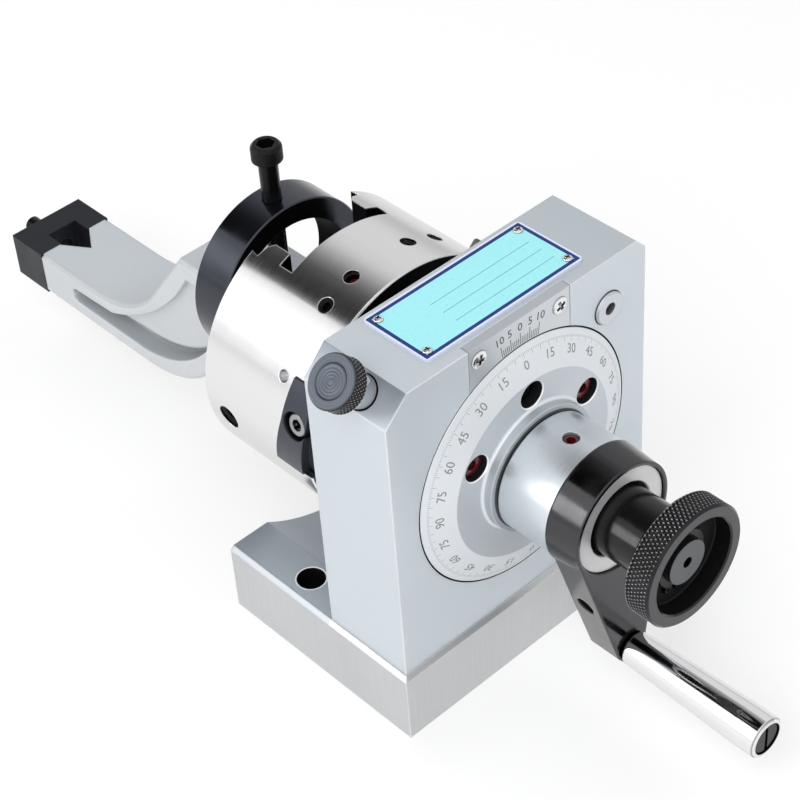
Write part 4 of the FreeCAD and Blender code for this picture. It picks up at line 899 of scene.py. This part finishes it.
# Degree marks all round the dial's coned rim, with a figure every fifteen degrees
def dialScale():
    look = {
        "inset": 0.3, "short": 2.2, "middle": 3.2, "long": 3.2, "width": 0.12,
        "figures": 3.9, "figureRadius": 35.0, "lift": 0.03, "coneRadius": 30.4, "coneRise": 4.0,
    }
    slope = look["coneRise"] / (dialRadius - look["coneRadius"])
    outer = dialRadius - look["inset"]
    lines = meshObject("dial_marks", [], [])
    marks.bake(lines, dialInk, {
        "Count": 360, "Start": 0.0, "Step": math.radians(1), "Radius": outer * mm, "Outwards": -1.0,
        "Width": look["width"] * mm, "Thickness": 0.05 * mm, "Short": look["short"] * mm,
        "Middle": look["middle"] * mm, "Long": look["long"] * mm, "Middle every": 5, "Long every": 15,
        "Face": -look["inset"] * slope * mm, "Rise": slope, "Centre height": spindleZ * mm,
    })
    dress(lines, dialInk, "spindle", "fastener_black")
    lean = Matrix.Rotation(-math.atan(slope), 4, "X")
    plates = []
    for turn in range(0, 360, 15):
        degrees = min(turn, 360 - turn)
        label = str(degrees if degrees <= 90 else 180 - degrees)
        plate = figure(label, look["figures"])
        angle = math.radians(turn)
        reach = look["figureRadius"]
        y = -(dialRadius - reach) * slope - look["lift"]
        spin = Matrix.Rotation(angle, 4, "Y") @ lean
        plates.append(move(plate, reach * math.sin(angle), y, spindleZ + reach * math.cos(angle), spin))
    dress(merged("dial_figures", plates), dialInk, "spindle", "fastener_black")


# Ten marks each way above the dial, on the insert, with figures at every fifth
def vernierScale():
    look = {
        "radius": dialRadius + 0.8, "short": 2.4, "middle": 3.2, "long": 4.0, "width": 0.22,
        "figures": 3.6, "figureRadius": 47.3, "step": 0.95,
    }
    lines = meshObject("vernier_marks", [], [])
    marks.bake(lines, vernierInk, {
        "Count": 21, "Start": math.radians(-10 * look["step"]), "Step": math.radians(look["step"]),
        "Radius": look["radius"] * mm, "Outwards": 1.0, "Width": look["width"] * mm, "Thickness": 0.04 * mm,
        "Short": look["short"] * mm, "Middle": look["middle"] * mm, "Long": look["long"] * mm,
        "Middle every": 5, "Long every": 5, "Face": 0.0, "Centre height": spindleZ * mm,
    })
    dress(lines, vernierInk, "housing", "fastener_black")
    plates = []
    for value in (-10, -5, 0, 5, 10):
        angle = math.radians(value * look["step"])
        reach = look["figureRadius"]
        plate = figure(str(abs(value)), look["figures"])
        spin = Matrix.Rotation(angle, 4, "Y")
        plates.append(move(plate, reach * math.sin(angle), -0.02, spindleZ + reach * math.cos(angle), spin))
    dress(merged("vernier_figures", plates), vernierInk, "housing", "fastener_black")


dialScale()
vernierScale()
print("drew the scales")


# Turned, knurled and carved pieces

# A hexagon socket cut into a turned screw, from one station along its axis to another
def socketed(screw, across, near, far):
    corner = across / math.sqrt(3)
    return carved(screw, turned("Socket", [(near, 0.0), (near, corner), (far, corner), (far, 0.0)], 6))


# The knurled thumb nut on the shaft end, with its long sleeve and dished face
def thumbNut():
    look = {"ridges": 86.0, "pitch": 2.19, "depth": 0.5, "flat": 0.22, "edge": 0.7, "steps": 688, "rows": 44}
    face, back = nutLow.y, nutHigh.y
    width, sleeve, recess, floor, bore = 8.6, 10.8, 14.9, 6.0, 7.05
    edge, rows = look["edge"], look["rows"]
    rim = [(face + edge + (width - 2 * edge) * i / rows, nutRadius) for i in range(rows + 1)]
    profile = [(back, bore), (face + floor, bore), (face + floor, recess - 0.4), (face + floor - 0.4, recess),
               (face + 0.5, recess), (face, recess + 0.5), (face, nutRadius - edge)]
    profile += rim + [(face + width, nutRadius - edge), (face + width, sleeve + 0.6), (face + width + 0.6, sleeve),
                      (back - 0.5, sleeve), (back, sleeve - 0.5)]
    nut = turned("thumb_nut_knurled", profile, look["steps"])
    knurl.bake(nut, nutBlack, {
        "Rim radius": nutRadius * mm, "Near": (face + edge + 0.05) * mm, "Far": (face + width - edge - 0.05) * mm,
        "Ridges": look["ridges"], "Pitch": look["pitch"] * mm, "Depth": look["depth"] * mm, "Flat": look["flat"],
    })
    smooth(nut.data, 24)
    move(nut, z=spindleZ)
    dress(nut, nutBlack, "thumb_nut", "black_oxide", "thumb_nut")


# The thrust ring in the crank's cup, with broken corners and a bore close round the nut's sleeve
def thrustRing():
    look = {"bore": 11.7, "corner": 0.35, "steps": 128}
    low, high = edges("thrust_ring")
    outer, bore, corner = (high.x - low.x) / 2, look["bore"], look["corner"]
    ring = turned("thrust_ring_detailed", [
        (high.y, bore), (low.y + corner, bore), (low.y, bore + corner),
        (low.y, outer - corner), (low.y + corner, outer), (high.y, outer)], look["steps"])
    move(ring, z=spindleZ)
    dress(ring, ringSteel, "spindle", "turned_steel", "thrust_ring")


# The small knurled knob of the index plunger, with turned rings and one groove on its face
def plungerKnob():
    look = {
        "ridges": 44.0, "pitch": 1.75, "depth": 0.4, "flat": 0.2, "radius": 7.8, "width": 6.0, "edge": 0.6,
        "groove": 4.9, "steps": 352, "rows": 30,
    }
    low, high = edges("plunger_knob")
    middle = (low + high) / 2
    outwards = Vector((-math.sin(math.radians(45)), 0, math.cos(math.radians(45))))
    face = (middle - Vector((0, middle.y, spindleZ))).dot(outwards) + look["width"] / 2
    radius, width, edge, rows = look["radius"], look["width"], look["edge"], look["rows"]
    rim = [(edge + (width - 2 * edge) * i / rows, radius) for i in range(rows + 1)]
    rings = []
    for reach in (1.0, 1.9, 2.8, 3.7):
        rings += [(0.0, reach - 0.35), (0.1, reach), (0.0, reach + 0.35)]
    rings += [(0.0, look["groove"] - 0.35), (0.35, look["groove"]), (0.0, look["groove"] + 0.35)]
    profile = [(width, 0.0), (0.0, 0.0)] + rings + [(0.0, radius - edge)] + rim + [(width, radius - edge)]
    knob = turned("plunger_knob_knurled", profile, look["steps"])
    knurl.bake(knob, plungerBlack, {
        "Rim radius": radius * mm, "Near": (edge + 0.05) * mm, "Far": (width - edge - 0.05) * mm,
        "Ridges": look["ridges"], "Pitch": look["pitch"] * mm, "Depth": look["depth"] * mm, "Flat": look["flat"],
    })
    smooth(knob.data, 24)
    spin = Matrix.Rotation(math.radians(-45), 4, "Y") @ Matrix.Rotation(math.radians(-90), 4, "X")
    spot = Vector((0, middle.y, spindleZ)) + outwards * face
    move(knob, *spot, spin)
    dress(knob, plungerBlack, "plunger", "black_oxide", "plunger_knob")


# The clamp screw: a cap screw with a fluted head, a hexagon socket and a thread at its lower end
def clampScrew():
    look = {
        "flutes": 48, "fluteDepth": 0.16, "headRadius": 4.8, "headHeight": 5.6, "socket": 5.0, "socketDepth": 3.3,
        "shank": 3.0, "threadFrom": 14.0, "threadPitch": 1.0, "threadDepth": 0.3,
    }
    low, high = edges("clamp_screw")
    head, shank = look["headRadius"], look["shank"]
    length = high.z - low.z - look["headHeight"]
    top = length + look["headHeight"]
    thread = [(0.4, shank - 0.6)]
    turns = int((length - look["threadFrom"]) / look["threadPitch"])
    for turn in range(turns):
        foot = 0.6 + turn * look["threadPitch"]
        thread += [(foot, shank - look["threadDepth"]), (foot + look["threadPitch"] / 2, shank)]
    profile = [(0.0, 0.0), (0.0, shank - 0.6)] + thread + [
        (length - look["threadFrom"] + 0.8, shank), (length, shank), (length, head - 0.3), (length + 0.3, head),
        (length + 1.0, head), (top - 1.3, head), (top - 0.9, head - 0.1), (top, head - 0.9), (top, 0.0),
    ]

    def flute(angle, y, r):
        if length + 0.9 < y < top - 1.2 and r > head - 0.05:
            return r - look["fluteDepth"] * (0.5 - 0.5 * math.cos(angle * look["flutes"]))
        return r

    screw = turned("clamp_screw_detailed", profile, look["flutes"] * 6, flute)
    socketed(screw, look["socket"], top - look["socketDepth"], top + 1)
    middle = (low + high) / 2
    move(screw, middle.x, middle.y, low.z, Matrix.Rotation(math.pi / 2, 4, "X"))
    dress(screw, fastener, "clamp_screw", "fastener_black", "clamp_screw")


# The dial with its coned rim, raised face, tight cove and collar, and three bores with broken edges
def dialBody():
    look = {
        "cone": 30.4, "face": -4.0, "cove": 0.9, "collar": 20.5, "collarFace": -7.3, "neck": 18.0, "back": -7.7,
        "bore": 12.4, "circle": 25.4, "hole": 4.2, "chamfer": 0.35, "steps": 360,
    }
    face, cove, collar, front = look["face"], look["cove"], look["collar"], look["collarFace"]
    profile = [(dialHigh.y, look["bore"]), (look["back"], look["bore"]), (look["back"], look["neck"]),
               (front, look["neck"]), (front, collar - 0.2), (front + 0.2, collar)]
    for step in range(7):
        turn = math.radians(90 * step / 6)
        profile.append((face - cove + cove * math.sin(turn), collar + cove - cove * math.cos(turn)))
    profile += [(face, look["cone"]), (-0.08, dialRadius - 0.12), (0.12, dialRadius), (dialHigh.y, dialRadius)]
    dial = turned("dial_detailed", profile, look["steps"])
    for turn in (-60, 0, 60):
        angle = math.radians(turn)
        hole, chamfer = look["hole"], look["chamfer"]
        cutter = turned("Bore", [(dialHigh.y + 1, 0.0), (-9.0, 0.0), (-9.0, hole + chamfer),
                                 (face, hole + chamfer), (face + chamfer, hole), (dialHigh.y + 1, hole)], 64)
        move(cutter, look["circle"] * math.sin(angle), 0.0, look["circle"] * math.cos(angle))
        carved(dial, cutter)
    smooth(dial.data, 18)
    move(dial, z=spindleZ)
    dress(dial, dialSteel, "spindle", "turned_steel", "dial")


# A set screw with a hexagon socket in each of the dial's bores, two of them under red sealant
def dialScrews():
    look = {"circle": 25.4, "radius": 4.15, "face": -2.0, "lockFace": -0.9, "socket": 3.0, "socketDepth": 1.4}
    for name, turn, face, material, slot in (
            ("dial_screw_left", -60, look["face"], sealant, "seal_red"),
            ("dial_screw_right", 60, look["face"], sealant, "seal_red"),
            ("dial_screw_lock", 0, look["lockFace"], fastener, "fastener_black")):
        back, radius = edges(name)[1].y, look["radius"]
        screw = turned(name + "_detailed", [
            (back, 0.0), (face, 0.0), (face, radius - 0.9), (face + 0.45, radius - 0.45), (face + 0.5, radius),
            (back, radius)], 48)
        socketed(screw, look["socket"], face + look["socketDepth"], face - 1)
        angle = math.radians(turn)
        move(screw, look["circle"] * math.sin(angle), 0.0, spindleZ + look["circle"] * math.cos(angle))
        dress(screw, material, "spindle", slot, name)


thumbNut()
thrustRing()
plungerKnob()
clampScrew()
dialBody()
dialScrews()
print("turned, knurled and carved the detailed pieces")


# Cross-head screws

# A domed screw head with a cross recess, its seat at y = 0 and its dome towards -Y
def crossHead(name, radius, rise, recess):
    profile = [(0.0, 0.0), (0.0, radius)]
    for step in range(7):
        angle = math.radians(90 * step / 6)
        profile.append((-0.12 * rise - 0.88 * rise * math.sin(angle), radius * math.cos(angle)))
    head = turned(name, profile, 48)
    sides = [(0, 1, 2, 3), (7, 6, 5, 4), (0, 4, 5, 1), (1, 5, 6, 2), (2, 6, 7, 3), (3, 7, 4, 0)]
    arms = []
    for long, short in ((radius * 0.66, radius * 0.19), (radius * 0.19, radius * 0.66)):
        corners = []
        for y, scale in ((recess - rise, 0.7), (-rise - 1.0, 1.15)):
            corners += [(long * scale, y, short * scale), (-long * scale, y, short * scale),
                        (-long * scale, y, -short * scale), (long * scale, y, -short * scale)]
        arm = meshObject("Arm", corners, sides)
        tidyMesh(arm)
        arms.append(arm)
    for arm in arms:
        carved(head, arm)
    return head


# The same head at the middle of each named node, which it replaces
def crossScrews(name, material, replaced, radius, rise, recess, turn, seat):
    head = crossHead(name + "_head", radius, rise, recess)
    spots = []
    for node in replaced:
        low, high = edges(node)
        spots.append(seat(low, high))
    carrier = meshObject(name, spots, [])
    screws.bake(carrier, material, {"Screw": head, "Turn": turn})
    bpy.data.objects.remove(head)
    smooth(carrier.data)
    dress(carrier, material, "housing", "bright_screw", *replaced)


crossScrews("vernier_screw_heads", zincFront, ["vernier_screw_left", "vernier_screw_right"], 2.8, 0.55, 1.1,
            (0.0, 0.0, 0.0), lambda low, high: ((low.x + high.x) / 2, 0.0, (low.z + high.z) / 2))
crossScrews("nameplate_screw_heads", zincTop, ["nameplate_pin_%d" % (i + 1) for i in range(4)], 1.5, 0.68, 0.8,
            (math.radians(-90), 0.0, 0.0), lambda low, high: ((low.x + high.x) / 2, (low.y + high.y) / 2, low.z))
print("set the cross-head screws")


# Studio

def studioObject(name, vertices, faces, material):
    mesh = bpy.data.meshes.new(name)
    mesh.from_pydata(vertices, [], faces)
    mesh.materials.append(material)
    item = linked(name, mesh)
    return item


def makeFloor():
    look = {"size": 6.0, "shadow": 0.45}
    paper = bpy.data.materials.new("White paper")
    paper.use_nodes = True
    graph = Graph(paper.node_tree)
    shader = graph.nodes["Principled BSDF"]
    for label, value in (("Base Color", (0.9, 0.9, 0.9, 1)), ("Roughness", 0.8), ("Specular IOR Level", 0.1)):
        shader.inputs[label].default_value = value
    glow = graph.add("ShaderNodeEmission", {"Strength": 1.0})
    path = graph.add("ShaderNodeLightPath")
    seen = graph.math("MAXIMUM", path.outputs["Is Camera Ray"], path.outputs["Is Glossy Ray"])
    part = graph.math("MULTIPLY", seen, 1.0 - look["shadow"])
    mix = graph.add("ShaderNodeMixShader", {0: part, 1: shader, 2: glow})
    graph.put(mix, graph.nodes["Material Output"].inputs["Surface"])
    half = look["size"] / 2
    corners = [(-half, -half, 0), (half, -half, 0), (half, half, 0), (-half, half, 0)]
    studioObject("floor", corners, [(0, 1, 2, 3)], paper)


# A card that glows by levels along one of its own axes and that only reflections show
def reflected(name, look):
    azimuth, elevation = math.radians(look["azimuth"]), math.radians(look["elevation"])
    level = math.cos(elevation)
    away = Vector((math.sin(azimuth) * level, math.cos(azimuth) * level, math.sin(elevation)))
    turn = away.to_track_quat("-Z", "Y").to_matrix().to_4x4()
    card = bpy.data.materials.new(name)
    card.use_nodes = True
    graph = Graph(card.node_tree)
    graph.nodes.remove(graph.nodes["Principled BSDF"])
    parts = graph.add("ShaderNodeSeparateXYZ", {0: graph.add("ShaderNodeTexCoord").outputs["Object"]})
    levels = look["levels"]
    start, end = levels[0][0], levels[-1][0]
    span = graph.add("ShaderNodeMapRange", {
        "Value": parts.outputs[look["axis"]], "From Min": start, "From Max": end,
    })
    fade = graph.add("ShaderNodeValToRGB", {"Fac": span})
    fade.color_ramp.interpolation = "B_SPLINE"
    stops = fade.color_ramp.elements
    while len(stops) > 1:
        stops.remove(stops[-1])
    for index, (place, grey) in enumerate(levels):
        share = (place - start) / (end - start)
        stop = stops[0] if index == 0 else stops.new(share)
        stop.position = share
        stop.color = (grey, grey, grey, 1)
    glow = graph.add("ShaderNodeEmission", {"Color": fade.outputs["Color"], "Strength": look["strength"]})
    graph.put(glow, graph.nodes["Material Output"].inputs["Surface"])
    corners = [(look["left"], look["down"], 0), (look["right"], look["down"], 0),
               (look["right"], look["up"], 0), (look["left"], look["up"], 0)]
    item = studioObject(name, corners, [(0, 1, 2, 3)], card)
    item.matrix_world = Matrix.Translation(away * look["distance"] + Vector((0, 0.06, 0.1))) @ turn
    item.visible_camera = False
    item.visible_diffuse = False
    item.visible_transmission = False
    item.visible_shadow = False


# A black card above and behind with a sharp left edge, its wing above, and on the left a bright card
# with a narrow glint beside it
def makeCards():
    cards = {
        "black_card": {
            "distance": 2.0, "azimuth": -2.0, "elevation": 52.0, "strength": 1.0, "axis": 0,
            "left": -0.80, "right": 1.35, "down": -0.75, "up": 0.9,
            "levels": ((-0.80, 0.012), (-0.40, 0.02), (-0.05, 0.07), (0.25, 0.20), (0.60, 0.56), (0.90, 0.78),
                       (1.35, 0.80)),
        },
        "bright_card": {
            "distance": 2.2, "azimuth": -50.0, "elevation": 18.0, "strength": 2.0, "axis": 1,
            "left": -0.55, "right": 0.50, "down": -0.60, "up": 0.62,
            "levels": ((-0.60, 0.42), (-0.30, 0.60), (0.0, 0.95), (0.30, 1.0), (0.62, 0.70)),
        },
        "wing_card": {
            "distance": 1.97, "azimuth": -2.0, "elevation": 52.0, "strength": 1.0, "axis": 0,
            "left": -1.15, "right": 1.5, "down": 0.13, "up": 0.8,
            "levels": ((-1.15, 0.012), (0.20, 0.015), (0.75, 0.25), (1.1, 0.45), (1.5, 0.6)),
        },
        "glint_card": {
            "distance": 2.15, "azimuth": -50.0, "elevation": 18.0, "strength": 7.0, "axis": 0,
            "left": -1.10, "right": -0.28, "down": -0.50, "up": 0.52,
            "levels": ((-1.10, 0.2), (-0.95, 0.45), (-0.75, 0.6), (-0.58, 0.75), (-0.42, 1.0), (-0.34, 0.8),
                       (-0.28, 0.35)),
        },
    }
    for name, look in cards.items():
        reflected(name, look)


# White to the camera; reflections see it bright on the left, paler low down and on the right
def makeWorld():
    look = {"fill": 0.55, "left": 1.28, "right": 0.80, "low": 0.80}
    world = bpy.data.worlds.new("Studio")
    bpy.context.scene.world = world
    world.use_nodes = True
    graph = Graph(world.node_tree)
    back = graph.nodes["Background"]
    back.inputs["Color"].default_value = (1, 1, 1, 1)
    path = graph.add("ShaderNodeLightPath")
    parts = graph.add("ShaderNodeSeparateXYZ", {0: graph.add("ShaderNodeTexCoord").outputs["Generated"]})

    def span(value, start, end, low, high):
        return graph.add("ShaderNodeMapRange", {
            "Value": value, "From Min": start, "From Max": end, "To Min": low, "To Max": high,
        }, interpolation_type="SMOOTHSTEP").outputs[0]

    rising = graph.math("MULTIPLY", span(parts.outputs[0], -0.75, 0.6, look["left"], look["right"]),
                        span(parts.outputs[2], 0.0, 0.4, look["low"], 1.0))
    glossy = graph.add("ShaderNodeMix", {"Factor": path.outputs["Is Glossy Ray"], "A": look["fill"], "B": rising})
    seen = graph.add("ShaderNodeMix", {
        "Factor": path.outputs["Is Camera Ray"], "A": glossy.outputs["Result"], "B": 1.0,
    })
    graph.put(seen.outputs["Result"], back.inputs["Strength"])


def makeLamps():
    lamps = {
        "key": ((-0.55, -0.25, 0.75), 0.6, 6.0), "fill": ((0.7, -0.6, 0.6), 0.7, 3.0),
        "rear": ((0.1, 0.8, 0.7), 0.7, 2.6),
    }
    for name, (spot, size, power) in lamps.items():
        lamp = bpy.data.lights.new(name, "AREA")
        lamp.size = size
        lamp.energy = power
        item = linked(name, lamp)
        item.location = spot
        item.rotation_euler = (Vector((0, 0.05, 0.06)) - Vector(spot)).to_track_quat("-Z", "Y").to_euler()
        item.visible_glossy = False


# The view found from the photograph's own perspective
def makeCamera():
    look = {"place": (-323.5, -329.9, 505.1), "turn": (48.716, 3.409, -43.245), "lens": 100.06}
    lens = bpy.data.cameras.new("camera")
    lens.lens = look["lens"]
    lens.sensor_width = 36.0
    camera = linked("camera", lens)
    camera.location = Vector(look["place"]) * mm
    camera.rotation_euler = [math.radians(angle) for angle in look["turn"]]
    bpy.context.scene.camera = camera


makeFloor()
makeCards()
makeWorld()
makeLamps()
makeCamera()
bpy.context.scene.view_settings.view_transform = "Standard"
print("lit the studio")
